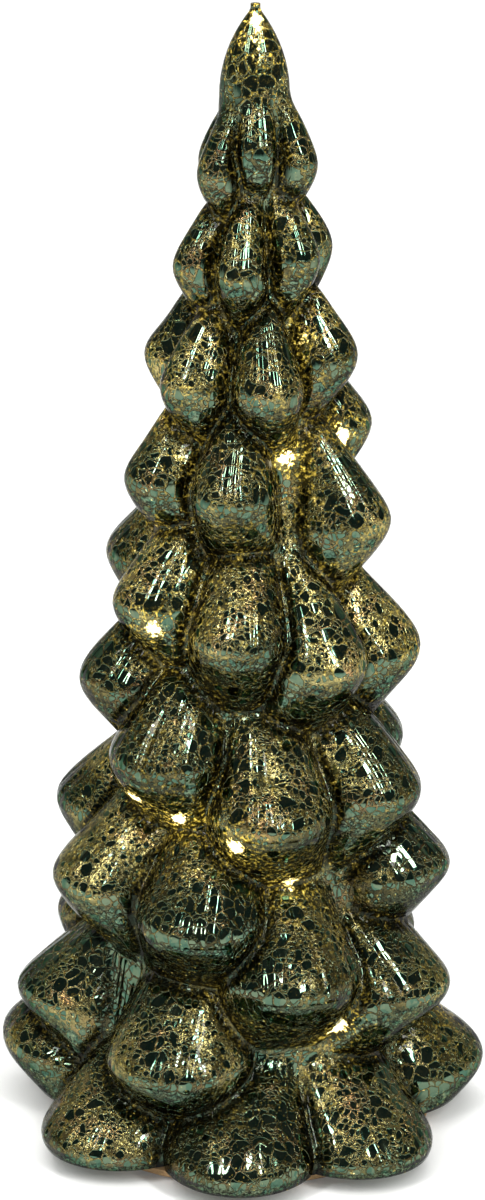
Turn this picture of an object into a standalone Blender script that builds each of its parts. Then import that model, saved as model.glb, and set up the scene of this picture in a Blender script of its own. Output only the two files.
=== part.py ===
"""LED Christmas tree: a hollow blown-glass tree on a base disc that holds the cells, switch and lights.

Metres, +Z up. The origin is the centre of the footprint, on the surface that the tree stands on.
"""
import math

import bmesh
import bpy
import numpy as np
from mathutils import Matrix, Vector

MILLIMETRE = 0.001
THOUSANDTH = 0.001
GAP = 0.0003
ROD_SIDES = 16
SMOOTH_ANGLE = 40
WELD_DISTANCE = 0.00001

# The glass tree
TREE_TOP = 0.322
GLASS_WALL = 0.0022
GLASS_COLUMNS = 56
BODY_ROWS = 43
DOME_ROWS = 7
TRUNK_FOOT_RADIUS = 0.0465
DOME_RADIUS = 0.0094
DOME_HEIGHT = 0.026
DOME_POWER = 2.2
NIB_RADIUS = 0.0013
FOOT_LIP = 0.001
GLASS_SMOOTH_ANGLE = 60
GLASS_SOFTENING = 0.3

# The branch lobes: reach past the trunk, slopes, roundness and width, at the foot and at the top of the tree
REACH_FOOT, REACH_TOP = 0.0235, 0.0088
REACH_SWELL = 0.0035
SWELL_LOW = 0.12
SWELL_LENGTH = 0.71
FALL_FOOT, FALL_TOP = 1.25, 0.50
TUCK_FOOT, TUCK_TOP = 1.05, 0.52
ROUND_FOOT, ROUND_TOP = 0.0060, 0.0024
SPREAD_FOOT, SPREAD_TOP = 30.0, 40.0
NECK_NARROWING = 0.50
NECK_LENGTH = 0.034
FLANK_POWER = 1.10
CREASE_SHARPNESS = 14.0
CREASE_DEPTH = 0.0009
CREASE_WIDTH = 0.0018
CREASE_START = 0.0028

# Each round of branches from the top down: turns in degrees from the front and the heights of the tips, in
# thousandths of the tree's height
BRANCH_ROUNDS = (
    ((-126, 860), (-47, 863), (3, 882), (63, 870), (120, 866), (178, 873)),
    ((-138, 776), (-62, 780), (-11, 783), (46, 792), (108, 786), (170, 783)),
    ((-109, 689), (-47, 686), (13, 689), (76, 702), (130, 689), (-170, 686)),
    ((-66, 599), (-11, 599), (68, 565), (112, 627), (166, 602), (-148, 596)),
    ((-118, 503), (-52, 500), (-5, 481), (36, 457), (142, 497), (-172, 506)),
    ((-72, 419), (-40, 370), (91, 438), (-128, 391), (176, 407)),
    ((11, 329), (61, 332), (132, 323), (-110, 276), (-160, 301)),
    ((-66, 245), (-18, 236), (18, 186), (79, 248), (126, 217), (174, 199), (-126, 155)),
    ((-90, 115), (-25, 109), (62, 155), (138, 130), (176, 106), (-148, 106)),
    ((-98, 59), (-48, 28), (-1, 31), (42, 28), (95, 47), (145, 37), (-150, 34)),
)

# Branches that stand out further than the rest, by turn and height, in shares of the swell
REACH_CHANGES = {(-98, 59): 0.63, (68, 565): 0.43, (-47, 863): 0.29, (63, 870): 0.46, (91, 438): 0.17,
                 (176, 106): 0.80}

# The base disc, its pads and the glue under the glass
PAD_THICKNESS = 0.001
PAD_RADIUS = 0.005
PAD_INSET = 0.0065
PAD_COUNT = 4
SHOULDER_WIDTH = 0.0065
DISC_SHOULDER = 0.003
DISC_THICKNESS = 0.007
SPIGOT_CLEARANCE = 0.0015
DISC_EDGE_ROUND = 0.0008
GLUE_THICKNESS = 0.0005
GLUE_WIDTH = 0.003
DISC_SIDES = 56
GLUE_SIDES = 40

# The battery case
CELL_LENGTH = 0.0445
CELL_RADIUS = 0.00525
CELL_COUNT = 3
CELL_NUB_LENGTH = 0.0009
CELL_NUB_RADIUS = 0.0019
CELL_EDGE_ROUND = 0.0004
CELL_SIDES = 18
BAY_WIDTH = 0.0109
BAY_DIVIDER = 0.0006
SPRING_ROOM = 0.0057
CASE_WALL = 0.0015
BOARD_BAY_WIDTH = 0.009
FLANGE_THICKNESS = 0.0016
FLANGE_REACH = 0.0045
FLANGE_CORNER = 0.003
CORNER_SEGMENTS = 4
DOOR_THICKNESS = 0.0015
DOOR_LEDGE = 0.0008
DOOR_TO_CELL = 0.0008
CEILING_CLEARANCE = 0.0003
LINK_CHANNEL = 0.0012

# The battery door: its barrel, pins, latch and grip grooves
BARREL_RADIUS = 0.0015
HINGE_PIN_RADIUS = 0.0007
PIN_SIDES = 12
LATCH_WIDTH = 0.008
LATCH_THICKNESS = 0.0008
LATCH_RISE = 0.0028
THUMB_NOTCH_RADIUS = 0.006
THUMB_NOTCH_DEPTH = 0.001
GRIP_GROOVES = 4
GRIP_PITCH = 0.0022
GRIP_DEPTH = 0.0005
GRIP_LENGTH = 0.014

# The switch
SWITCH_LENGTH = 0.0086
SWITCH_WIDTH = 0.0044
SWITCH_HEIGHT = 0.0047
KNOB_STEM = 0.002
KNOB_TRAVEL = 0.002
KNOB_TAB_LENGTH = 0.0034
KNOB_TAB_WIDTH = 0.0028
KNOB_TAB_THICKNESS = 0.0007
KNOB_DEPTH_IN_FRAME = 0.002

# The circuit board and what is on it
BOARD_LENGTH = 0.030
BOARD_THICKNESS = 0.0012
CHIP_RADIUS = 0.003
CHIP_HEIGHT = 0.0012
CHIP_STEPS = 3
CHIP_X = 0.009
CRYSTAL_X = -0.006
CRYSTAL_RADIUS = 0.001
CRYSTAL_LENGTH = 0.006
RESISTOR_RADIUS = 0.0009
RESISTOR_LENGTH = 0.0045
COVER_THICKNESS = 0.0012
COVER_HOLE_RADIUS = 0.001
SMALL_SIDES = 12

# Contacts and springs
PLATE_THICKNESS = 0.0004
PLATE_WIDTH = 0.0076
PLATE_HEIGHT = 0.0080
TAIL_WIDTH = 0.0018
TAIL_RISE = 0.0014
SPRING_WIRE_RADIUS = 0.00028
SPRING_CURLS = 3
SPRING_POINTS_PER_CURL = 8
SPRING_WALL_RADIUS = 0.0034
SPRING_CELL_RADIUS = 0.0022

# Leads, light string and screws
LEAD_RADIUS = 0.00055
LEAD_ARCH = 0.00165
LEAD_SAMPLES = 4
STRING_RADIUS = 0.00045
STRING_STEP = 0.0062
LED_RADIUS = 0.0019
LED_LENGTH = 0.0044
LED_BORE_CLEARANCE = 0.0003
STRING_INSET = 0.0054
LED_SAMPLES = 12
LED_SIDES = 8
LED_SHOULDER = 0.7
TIP_LED_DROP = 0.0135
SCREW_HEAD_RADIUS = 0.0018
SCREW_HEAD_DEPTH = 0.0010
SCREW_RADIUS = 0.0010
SCREW_LENGTH = 0.0055
SCREW_POINT_RADIUS = 0.00035
SCREW_POINT_LENGTH = 0.0014
SCREW_SIDES = 12
SCREW_HOLE_CLEARANCE = 0.0003
SCREW_CROSS_WIDTH = 0.0005
SCREW_CROSS_LENGTH = 0.0022
SCREW_CROSS_DEPTH = 0.0006

# The light string's route up the glass: the turn and the height of each LED below the tip, as above
LED_ROUTE = (
    (96, 99), (36, 149), (19, 265), (-4, 309), (-27, 322), (-48, 340), (-150, 385), (-270, 430), (-398, 487),
    (-440, 560), (-540, 595), (-634, 627), (-688, 640), (-670, 730),
)

# Radii and heights that follow from the glass and the stack of pieces
FOOT_OPENING_RADIUS = TRUNK_FOOT_RADIUS - FOOT_LIP
DISC_RADIUS = FOOT_OPENING_RADIUS + SHOULDER_WIDTH
PAD_CIRCLE = DISC_RADIUS - PAD_INSET
DOME_START = TREE_TOP - DOME_HEIGHT
DISC_BOTTOM = PAD_THICKNESS + GAP
DISC_SHOULDER_TOP = DISC_BOTTOM + DISC_SHOULDER
DISC_TOP = DISC_BOTTOM + DISC_THICKNESS
GLUE_BOTTOM = DISC_SHOULDER_TOP + GAP
GLASS_FOOT = GLUE_BOTTOM + GLUE_THICKNESS + GAP
DOOR_RECESS_TOP = DISC_BOTTOM + DOOR_THICKNESS + GAP
CELL_AXIS_HEIGHT = DISC_BOTTOM + DOOR_THICKNESS + DOOR_TO_CELL + CELL_RADIUS
BAY_TOP = CELL_AXIS_HEIGHT + CELL_RADIUS + CEILING_CLEARANCE
CASE_TOP = BAY_TOP + CASE_WALL
FLOOR_TOP = DISC_BOTTOM + CASE_WALL

# Places that follow along and across the case
BAY_PITCH = BAY_WIDTH + BAY_DIVIDER
CELL_BLOCK_WIDTH = CELL_COUNT * BAY_WIDTH + (CELL_COUNT - 1) * BAY_DIVIDER
CASE_WIDTH = CELL_BLOCK_WIDTH + BOARD_BAY_WIDTH + 3 * CASE_WALL
CELL_SEAT = GAP + PLATE_THICKNESS + GAP
BAY_LENGTH = CELL_SEAT + CELL_LENGTH + SPRING_ROOM
CASE_LENGTH = BAY_LENGTH + 2 * CASE_WALL
CASE_FRONT = -CASE_WIDTH / 2
BAYS_FRONT = CASE_FRONT + CASE_WALL
BAYS_BACK = BAYS_FRONT + CELL_BLOCK_WIDTH
BOARD_BAY_FRONT = BAYS_BACK + CASE_WALL
BOARD_BAY_BACK = BOARD_BAY_FRONT + BOARD_BAY_WIDTH
BOARD_BAY_CENTRE = (BOARD_BAY_FRONT + BOARD_BAY_BACK) / 2
BAY_END = BAY_LENGTH / 2
DOOR_RECESS_END = BAY_END + DOOR_LEDGE
DOOR_RECESS_FRONT = BAYS_FRONT - DOOR_LEDGE
DOOR_END = DOOR_RECESS_END - GAP
DOOR_FRONT = DOOR_RECESS_FRONT + GAP
DOOR_BACK = BAYS_BACK - GAP
HINGE_Y = DOOR_BACK - BARREL_RADIUS
HINGE_Z = DISC_BOTTOM + BARREL_RADIUS
FRAME_BOTTOM = FLOOR_TOP + GAP
FRAME_TOP = FRAME_BOTTOM + SWITCH_HEIGHT
BOARD_BOTTOM = FRAME_TOP + GAP
BOARD_TOP = BOARD_BOTTOM + BOARD_THICKNESS
BOARD_WIDTH = BOARD_BAY_WIDTH - 2 * GAP
COVER_BOTTOM = CASE_TOP + GAP
COVER_TOP = COVER_BOTTOM + COVER_THICKNESS
SCREW_X = CASE_LENGTH / 2 + FLANGE_REACH / 2
SCREW_Y = CASE_WIDTH / 2 - FLANGE_REACH
LEAD_ENTRY_X = BOARD_LENGTH / 2 - 2 * COVER_HOLE_RADIUS


def clear_scene():
    """Removes every object, so that the script can be run again."""
    for old in list(bpy.data.objects):
        bpy.data.objects.remove(old, do_unlink=True)


def new_collection(name):
    """A collection of its own in the scene."""
    collection = bpy.data.collections.new(name)
    bpy.context.scene.collection.children.link(collection)
    return collection


def material(name, colour, roughness, metallic=0.0):
    """One Principled material."""
    made = bpy.data.materials.new(name)
    made.use_nodes = True
    shader = made.node_tree.nodes["Principled BSDF"]
    shader.inputs["Base Color"].default_value = (*colour, 1.0)
    shader.inputs["Roughness"].default_value = roughness
    shader.inputs["Metallic"].default_value = metallic
    return made


def add_object(name, mesh, finish, place=Matrix.Identity(4)):
    """Puts a mesh in the tree's collection under its node's name."""
    made = bpy.data.objects.new(name, mesh)
    PARTS.objects.link(made)
    made.matrix_world = place
    if finish is not None and not mesh.materials:
        mesh.materials.append(finish)
    return made


def mesh_from(name, shape, smooth_angle=None):
    """Turns a bmesh into a mesh, shaded smooth up to an angle in degrees if one is given."""
    mesh = bpy.data.meshes.new(name)
    shape.to_mesh(mesh)
    shape.free()
    if smooth_angle is not None:
        mesh.shade_smooth()
        mesh.set_sharp_from_angle(angle=math.radians(smooth_angle))
    return mesh


def box_mesh(name, low, high):
    """A box between two corners."""
    low = Vector(low)
    high = Vector(high)
    shape = bmesh.new()
    bmesh.ops.create_cube(shape, size=1.0)
    bmesh.ops.scale(shape, vec=high - low, verts=shape.verts)
    bmesh.ops.translate(shape, vec=(low + high) / 2, verts=shape.verts)
    return mesh_from(name, shape)


def rod_mesh(name, radius, start, end, sides=ROD_SIDES, end_radius=None):
    """A round bar, or a cone where an end radius is given, from one point to another."""
    start = Vector(start)
    end = Vector(end)
    axis = end - start
    shape = bmesh.new()
    bmesh.ops.create_cone(shape, cap_ends=True, segments=sides, radius1=radius,
                          radius2=radius if end_radius is None else end_radius, depth=axis.length)
    turn = axis.to_track_quat("Z", "Y").to_matrix().to_4x4()
    bmesh.ops.transform(shape, matrix=Matrix.Translation((start + end) / 2) @ turn, verts=shape.verts)
    return mesh_from(name, shape, SMOOTH_ANGLE)


def cutter(name, mesh, place=Matrix.Identity(4)):
    """A mesh that only cuts or joins another object."""
    made = bpy.data.objects.new(name, mesh)
    CUTTERS.objects.link(made)
    made.matrix_world = place
    made.hide_render = True
    made.display_type = "WIRE"
    return made


def combine(target, operation, tools):
    """Cuts, or joins on, each tool in turn."""
    for tool in tools:
        step = target.modifiers.new(tool.name, "BOOLEAN")
        step.operation = operation
        step.solver = "EXACT"
        step.object = tool


def turned(name, profile, finish, steps, place=Matrix.Identity(4)):
    """A turned piece: its outline, as radius and height, swept round +Z by a Screw modifier."""
    shape = bmesh.new()
    points = [shape.verts.new((radius, 0.0, height)) for radius, height in profile]
    for first, second in zip(points, points[1:]):
        shape.edges.new((first, second))
    if profile[0][0] > 0 and profile[-1][0] > 0:
        shape.edges.new((points[-1], points[0]))
    made = add_object(name, mesh_from(name, shape), finish, place)
    screw = made.modifiers.new("turn", "SCREW")
    screw.steps = steps
    screw.render_steps = steps
    screw.use_merge_vertices = True
    screw.merge_threshold = WELD_DISTANCE
    screw.use_smooth_shade = True
    return made


def wire(name, points, radius, finish, resolution):
    """A round wire with closed ends along the points."""
    curve = bpy.data.curves.new(name, "CURVE")
    curve.dimensions = "3D"
    curve.bevel_depth = radius
    curve.bevel_resolution = resolution
    curve.use_fill_caps = True
    spline = curve.splines.new("POLY")
    spline.points.add(len(points) - 1)
    for slot, point in zip(spline.points, points):
        slot.co = (*point, 1.0)
    made = bpy.data.objects.new(name, curve)
    PARTS.objects.link(made)
    curve.materials.append(finish)
    return made


def smooth_route(points, samples):
    """A smooth curve through the points, as evenly counted samples in each stretch."""
    padded = [2 * points[0] - points[1], *points, 2 * points[-1] - points[-2]]
    route = []
    for before, start, end, after in zip(padded, padded[1:], padded[2:], padded[3:]):
        for step in range(samples):
            share = step / samples
            bend = (2 * before - 5 * start + 4 * end - after) * share ** 2
            swing = (3 * start - before - 3 * end + after) * share ** 3
            route.append(0.5 * (2 * start + (end - before) * share + bend + swing))
    return route + [points[-1]]


def by_height(height, foot_value, top_value):
    """A value that changes evenly from the foot of the tree to its top."""
    return foot_value + (top_value - foot_value) * height / TREE_TOP


def trunk_radius(height):
    """The radius that the creases between the branches reach, with the pointed dome at the top."""
    taper = np.maximum(by_height(height, TRUNK_FOOT_RADIUS, 0.0), DOME_RADIUS)
    share = np.clip((height - DOME_START) / DOME_HEIGHT, 0.0, 1.0)
    return np.maximum(taper * (1.0 - share ** DOME_POWER), NIB_RADIUS)


def branch_reach(height):
    """How far the tip of a branch at this height stands out from the axis."""
    share = height / TREE_TOP
    swell = REACH_SWELL * max(0.0, math.sin(math.pi * (share - SWELL_LOW) / SWELL_LENGTH))
    return by_height(height, TRUNK_FOOT_RADIUS + REACH_FOOT, REACH_TOP) + swell


def branch_push(turn, height, branch_turn, tip_height, reach_change):
    """How far one branch pushes the glass out of the trunk at a turn and a height."""
    above = height - tip_height
    roundness = by_height(tip_height, ROUND_FOOT, ROUND_TOP)
    fall = by_height(tip_height, FALL_FOOT, FALL_TOP) * above / roundness
    tuck = -by_height(tip_height, TUCK_FOOT, TUCK_TOP) * above / roundness
    reach = branch_reach(tip_height) + reach_change
    ridge = reach + roundness * (math.log(2.0) - np.logaddexp(fall, tuck))
    narrowing = 1.0 - NECK_NARROWING * np.clip(above / NECK_LENGTH, 0.0, 1.0)
    spread = math.radians(by_height(tip_height, SPREAD_FOOT, SPREAD_TOP)) * narrowing
    aside = np.abs((turn - branch_turn + math.pi) % (2 * math.pi) - math.pi) / spread
    flank = np.clip(1.0 - aside ** 2, 0.0, 1.0) ** FLANK_POWER
    return np.maximum(ridge - trunk_radius(height), 0.0) * flank


def glass_radius(turn, height):
    """The outer radius of the glass: the trunk, its branches blended together, and the fold pressed between them."""
    pushes = []
    for branch_round in BRANCH_ROUNDS:
        for degrees, tip in branch_round:
            change = REACH_CHANGES.get((degrees, tip), 0.0) * REACH_SWELL
            pushes.append(branch_push(turn, height, math.radians(degrees), tip * THOUSANDTH * TREE_TOP, change))
    pushes = np.sort(pushes, axis=0)
    total = ((pushes / MILLIMETRE) ** CREASE_SHARPNESS).sum(axis=0) ** (1.0 / CREASE_SHARPNESS) * MILLIMETRE
    fold = np.exp(-((pushes[-1] - pushes[-2]) / CREASE_WIDTH) ** 2) * np.clip(total / CREASE_START, 0.0, 1.0)
    return trunk_radius(height) + total - CREASE_DEPTH * fold


def glass_row_heights():
    """The heights of the rows of the glass, closer together in the dome."""
    body = [GLASS_FOOT + (DOME_START - GLASS_FOOT) * row / BODY_ROWS for row in range(BODY_ROWS + 1)]
    quarter = math.pi / 2
    dome = [DOME_START + DOME_HEIGHT * math.sin(quarter * row / DOME_ROWS) for row in range(1, DOME_ROWS)]
    return body + dome


def glass_tree():
    """The blown glass: a turned blank, pushed into lobes, with an even wall and an open foot."""
    shape = bmesh.new()
    points = [shape.verts.new((FOOT_OPENING_RADIUS, 0.0, GLASS_FOOT))]
    points += [shape.verts.new((TRUNK_FOOT_RADIUS, 0.0, height)) for height in glass_row_heights()]
    points.append(shape.verts.new((0.0, 0.0, TREE_TOP)))
    edges = [shape.edges.new(pair) for pair in zip(points, points[1:])]
    bmesh.ops.spin(shape, geom=points + edges, cent=(0, 0, 0), axis=(0, 0, 1), angle=2 * math.pi,
                   steps=GLASS_COLUMNS, use_merge=True)
    bmesh.ops.remove_doubles(shape, verts=shape.verts, dist=WELD_DISTANCE)
    blown = [vert for vert in shape.verts if math.hypot(vert.co.x, vert.co.y) > FOOT_OPENING_RADIUS + GAP]
    turns = np.array([math.atan2(vert.co.x, -vert.co.y) for vert in blown])
    heights = np.array([vert.co.z for vert in blown])
    for vert, turn, radius in zip(blown, turns, glass_radius(turns, heights)):
        vert.co.x = radius * math.sin(turn)
        vert.co.y = -radius * math.cos(turn)
    soft = [vert for vert in blown if GLASS_FOOT + GAP < vert.co.z < DOME_START]
    bmesh.ops.smooth_vert(shape, verts=soft, factor=GLASS_SOFTENING, use_axis_x=True, use_axis_y=True)
    bmesh.ops.recalc_face_normals(shape, faces=shape.faces)
    made = add_object("glass_tree", mesh_from("glass_tree", shape, GLASS_SMOOTH_ANGLE), GLASS)
    wall = made.modifiers.new("wall", "SOLIDIFY")
    wall.thickness = GLASS_WALL
    wall.offset = -1.0
    return made


def base_disc():
    """The fibreboard disc: a shoulder under the glass, a spigot inside its foot, and the case's cut-out."""
    spigot = FOOT_OPENING_RADIUS - SPIGOT_CLEARANCE
    rim = DISC_RADIUS - DISC_EDGE_ROUND
    profile = ((0.0, DISC_TOP), (spigot, DISC_TOP), (spigot, DISC_SHOULDER_TOP), (rim, DISC_SHOULDER_TOP),
               (DISC_RADIUS, DISC_SHOULDER_TOP - DISC_EDGE_ROUND),
               (DISC_RADIUS, DISC_BOTTOM + DISC_EDGE_ROUND), (rim, DISC_BOTTOM), (0.0, DISC_BOTTOM))
    made = turned("base_disc", profile, FIBREBOARD, DISC_SIDES)
    half_length = CASE_LENGTH / 2 + GAP
    half_width = CASE_WIDTH / 2 + GAP
    well = box_mesh("case_well", (-half_length, -half_width, -DISC_TOP), (half_length, half_width, CASE_TOP))
    rebate = rounded_plate("flange_rebate", half_length + FLANGE_REACH, half_width + FLANGE_REACH,
                           FLANGE_CORNER + GAP, -DISC_TOP, DISC_BOTTOM + FLANGE_THICKNESS + GAP)
    tools = [cutter("case_well", well), cutter("flange_rebate", rebate)]
    for number, place in enumerate(screw_places(), 1):
        hole = rod_mesh("pilot_hole", SCREW_RADIUS + SCREW_HOLE_CLEARANCE, (0, 0, 0),
                        (0, 0, SCREW_LENGTH + GAP), SCREW_SIDES)
        tools.append(cutter(f"pilot_hole_{number}", hole, Matrix.Translation(place)))
    combine(made, "DIFFERENCE", tools)


def rounded_plate(name, half_length, half_width, corner, bottom, top):
    """A plate with four rounded corners."""
    shape = bmesh.new()
    bmesh.ops.create_cube(shape, size=1.0)
    bmesh.ops.scale(shape, vec=(2 * half_length, 2 * half_width, top - bottom), verts=shape.verts)
    bmesh.ops.translate(shape, vec=(0, 0, (top + bottom) / 2), verts=shape.verts)
    upright = [edge for edge in shape.edges if abs(edge.verts[0].co.z - edge.verts[1].co.z) > GAP]
    bmesh.ops.bevel(shape, geom=upright, offset=corner, segments=CORNER_SEGMENTS, profile=0.5,
                    affect="EDGES", material=-1)
    return mesh_from(name, shape)


def foot_pads():
    """Felt pads under the disc's rim."""
    for number in range(PAD_COUNT):
        turn = 2 * math.pi * number / PAD_COUNT
        place = Matrix.Translation((PAD_CIRCLE * math.cos(turn), PAD_CIRCLE * math.sin(turn), 0.0))
        mesh = rod_mesh("foot_pad", PAD_RADIUS, (0, 0, 0), (0, 0, PAD_THICKNESS))
        add_object(f"foot_pad_{number + 1}", mesh, FELT, place)


def glue_ring():
    """The thin ring of clear adhesive between the disc's shoulder and the foot of the glass."""
    inner = FOOT_OPENING_RADIUS + GAP
    outer = inner + GLUE_WIDTH
    profile = ((inner, GLUE_BOTTOM + GLUE_THICKNESS), (outer, GLUE_BOTTOM + GLUE_THICKNESS),
               (outer, GLUE_BOTTOM), (inner, GLUE_BOTTOM))
    turned("glue_ring", profile, GLUE, GLUE_SIDES)


def cell_y(number):
    """The middle of a cell's bay, counted from the front."""
    return BAYS_FRONT + BAY_WIDTH / 2 + BAY_PITCH * number


def screw_places():
    """Where the four case screws enter, at the level of the flange's lower face."""
    return [(x, y, DISC_BOTTOM) for x in (-SCREW_X, SCREW_X) for y in (-SCREW_Y, SCREW_Y)]


def contact_end(number):
    """Which end of the case, -1 or 1, the flat end of a cell faces: the cells lie head to tail."""
    return -1 if number % 2 == 0 else 1


def battery_case():
    """The moulded case: flange, three cell bays, board bay, door recess, hinge holes and screw holes."""
    half_length = CASE_LENGTH / 2
    half_width = CASE_WIDTH / 2
    made = add_object("battery_case", box_mesh(
        "battery_case", (-half_length, -half_width, DISC_BOTTOM),
        (half_length, half_width, CASE_TOP)), BLACK_ABS)
    flange = rounded_plate("flange", half_length + FLANGE_REACH, half_width + FLANGE_REACH, FLANGE_CORNER,
                           DISC_BOTTOM, DISC_BOTTOM + FLANGE_THICKNESS)
    combine(made, "UNION", [cutter("flange", flange)])
    tools = [cutter(f"cell_bay_{number + 1}", cell_bay(number)) for number in range(CELL_COUNT)]
    for side in (-1, 1):
        tools.append(cutter(f"link_channel_{side}", link_channel(side)))
        tools.append(cutter(f"hinge_hole_{side}", hinge_hole(side)))
    tools.append(cutter("door_recess", box_mesh(
        "door_recess", (-DOOR_RECESS_END, DOOR_RECESS_FRONT, -DISC_TOP),
        (DOOR_RECESS_END, BAYS_BACK, DOOR_RECESS_TOP))))
    tools.append(cutter("board_bay", box_mesh(
        "board_bay", (-BAY_END, BOARD_BAY_FRONT, FLOOR_TOP), (BAY_END, BOARD_BAY_BACK, COVER_TOP))))
    slot = KNOB_TRAVEL + KNOB_STEM / 2 + GAP
    side = KNOB_STEM / 2 + GAP
    middle = BOARD_BAY_CENTRE
    tools.append(cutter("switch_slot", box_mesh(
        "switch_slot", (-slot, middle - side, -DISC_TOP), (slot, middle + side, FRAME_TOP))))
    tools.append(cutter("latch_pocket", box_mesh(
        "latch_pocket", (-LATCH_WIDTH / 2 - GAP, DOOR_RECESS_FRONT, DISC_BOTTOM),
        (LATCH_WIDTH / 2 + GAP, BAYS_FRONT + GAP, DISC_BOTTOM + DOOR_THICKNESS + LATCH_RISE + GAP))))
    tools.append(cutter("thumb_notch", rod_mesh(
        "thumb_notch", THUMB_NOTCH_RADIUS, (0, DOOR_RECESS_FRONT, -DISC_TOP),
        (0, DOOR_RECESS_FRONT, DISC_BOTTOM + THUMB_NOTCH_DEPTH))))
    for side in (-1, 1):
        tools.append(cutter(f"tail_slot_{side}", tail_slot(side)))
    for number, place in enumerate(screw_places(), 1):
        tools.append(cutter(f"countersink_{number}", countersink(), Matrix.Translation(place)))
        tools.append(cutter(f"shank_hole_{number}", shank_hole(), Matrix.Translation(place)))
    combine(made, "DIFFERENCE", tools)


def cell_bay(number):
    """The trough that one cell lies in, open to the door recess."""
    middle = cell_y(number)
    return box_mesh("cell_bay", (-BAY_END, middle - BAY_WIDTH / 2, DISC_BOTTOM),
                    (BAY_END, middle + BAY_WIDTH / 2, BAY_TOP))


def link_channel(side):
    """The gap at the ends of the dividers, where the contact plates pass from bay to bay."""
    inner = BAY_END - LINK_CHANNEL
    low, high = sorted((side * inner, side * BAY_END))
    return box_mesh("link_channel", (low, BAYS_FRONT, DISC_BOTTOM), (high, BAYS_BACK, BAY_TOP))


def hinge_hole(side):
    """The hole through an end wall that the door's pin snaps into."""
    return rod_mesh("hinge_hole", HINGE_PIN_RADIUS + GAP, (side * (BAY_END - GAP), HINGE_Y, HINGE_Z),
                    (side * (CASE_LENGTH / 2 + GAP), HINGE_Y, HINGE_Z))


def tail_slot(side):
    """The slot in the ceiling that an outer contact's tail passes through."""
    middle = cell_y(0) if side > 0 else cell_y(CELL_COUNT - 1)
    far = BAY_END
    near = BAY_END - LINK_CHANNEL
    low, high = sorted((side * near, side * far))
    reach = TAIL_WIDTH / 2 + GAP
    bottom = BAY_TOP - GAP
    return box_mesh("tail_slot", (low, middle - reach, bottom), (high, middle + reach, CASE_TOP + GAP))


def countersink():
    """The cone that a screw's head sinks into, carried on a little below the flange."""
    flare = (SCREW_HEAD_RADIUS - SCREW_RADIUS) / SCREW_HEAD_DEPTH
    mouth = SCREW_HEAD_RADIUS + GAP * (1 + flare)
    return rod_mesh("countersink", mouth, (0, 0, -GAP), (0, 0, SCREW_HEAD_DEPTH), SCREW_SIDES,
                    SCREW_RADIUS + GAP)


def shank_hole():
    """The hole through the flange for a screw's shank."""
    return rod_mesh("shank_hole", SCREW_RADIUS + GAP, (0, 0, 0), (0, 0, 2 * FLANGE_THICKNESS), SCREW_SIDES)


def battery_door():
    """The door: plate, hinge barrel and pins, snap latch and grip grooves. Its origin is on the hinge."""
    hinge = Vector((0, HINGE_Y, HINGE_Z))
    place = Matrix.Translation(hinge)
    low = Vector((-DOOR_END, DOOR_FRONT, DISC_BOTTOM)) - hinge
    high = Vector((DOOR_END, HINGE_Y, DISC_BOTTOM + DOOR_THICKNESS)) - hinge
    made = add_object("battery_door", box_mesh("battery_door", low, high), BLACK_ABS, place)
    barrel_end = BAY_END - GAP
    pin_end = CASE_LENGTH / 2 - GAP
    barrel = rod_mesh("barrel", BARREL_RADIUS, (-barrel_end, 0, 0), (barrel_end, 0, 0))
    pin = rod_mesh("hinge_pins", HINGE_PIN_RADIUS, (-pin_end, 0, 0), (pin_end, 0, 0), PIN_SIDES)
    latch_low = Vector((-LATCH_WIDTH / 2, DOOR_FRONT, DISC_BOTTOM + DOOR_THICKNESS / 2)) - hinge
    latch_high = Vector((LATCH_WIDTH / 2, DOOR_FRONT + LATCH_THICKNESS,
                         DISC_BOTTOM + DOOR_THICKNESS + LATCH_RISE)) - hinge
    latch = box_mesh("latch", latch_low, latch_high)
    combine(made, "UNION", [cutter("barrel", barrel, place), cutter("hinge_pins", pin, place),
                            cutter("latch", latch, place)])
    grooves = []
    for number in range(GRIP_GROOVES):
        middle = DOOR_FRONT + THUMB_NOTCH_RADIUS + GRIP_PITCH * (number + 1)
        groove = box_mesh("grip_groove", (-GRIP_LENGTH / 2, middle - GRIP_DEPTH, -DISC_TOP),
                          (GRIP_LENGTH / 2, middle + GRIP_DEPTH, DISC_BOTTOM + GRIP_DEPTH))
        grooves.append(cutter(f"grip_groove_{number + 1}", groove))
    combine(made, "DIFFERENCE", grooves)


def board_cover():
    """The snap-in cover over the board bay, with holes for the two leads and the light string."""
    made = add_object("board_cover", box_mesh(
        "board_cover", (-CASE_LENGTH / 2, BOARD_BAY_FRONT - CASE_WALL / 2, COVER_BOTTOM),
        (CASE_LENGTH / 2, BOARD_BAY_BACK + CASE_WALL, COVER_TOP)), BLACK_ABS)
    tools = []
    for number, x in enumerate((-LEAD_ENTRY_X, LEAD_ENTRY_X, 0.0), 1):
        hole = rod_mesh("cover_hole", COVER_HOLE_RADIUS, (x, BOARD_BAY_CENTRE, CASE_TOP),
                        (x, BOARD_BAY_CENTRE, COVER_TOP + GAP), SMALL_SIDES)
        tools.append(cutter(f"cover_hole_{number}", hole))
    combine(made, "DIFFERENCE", tools)


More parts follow.
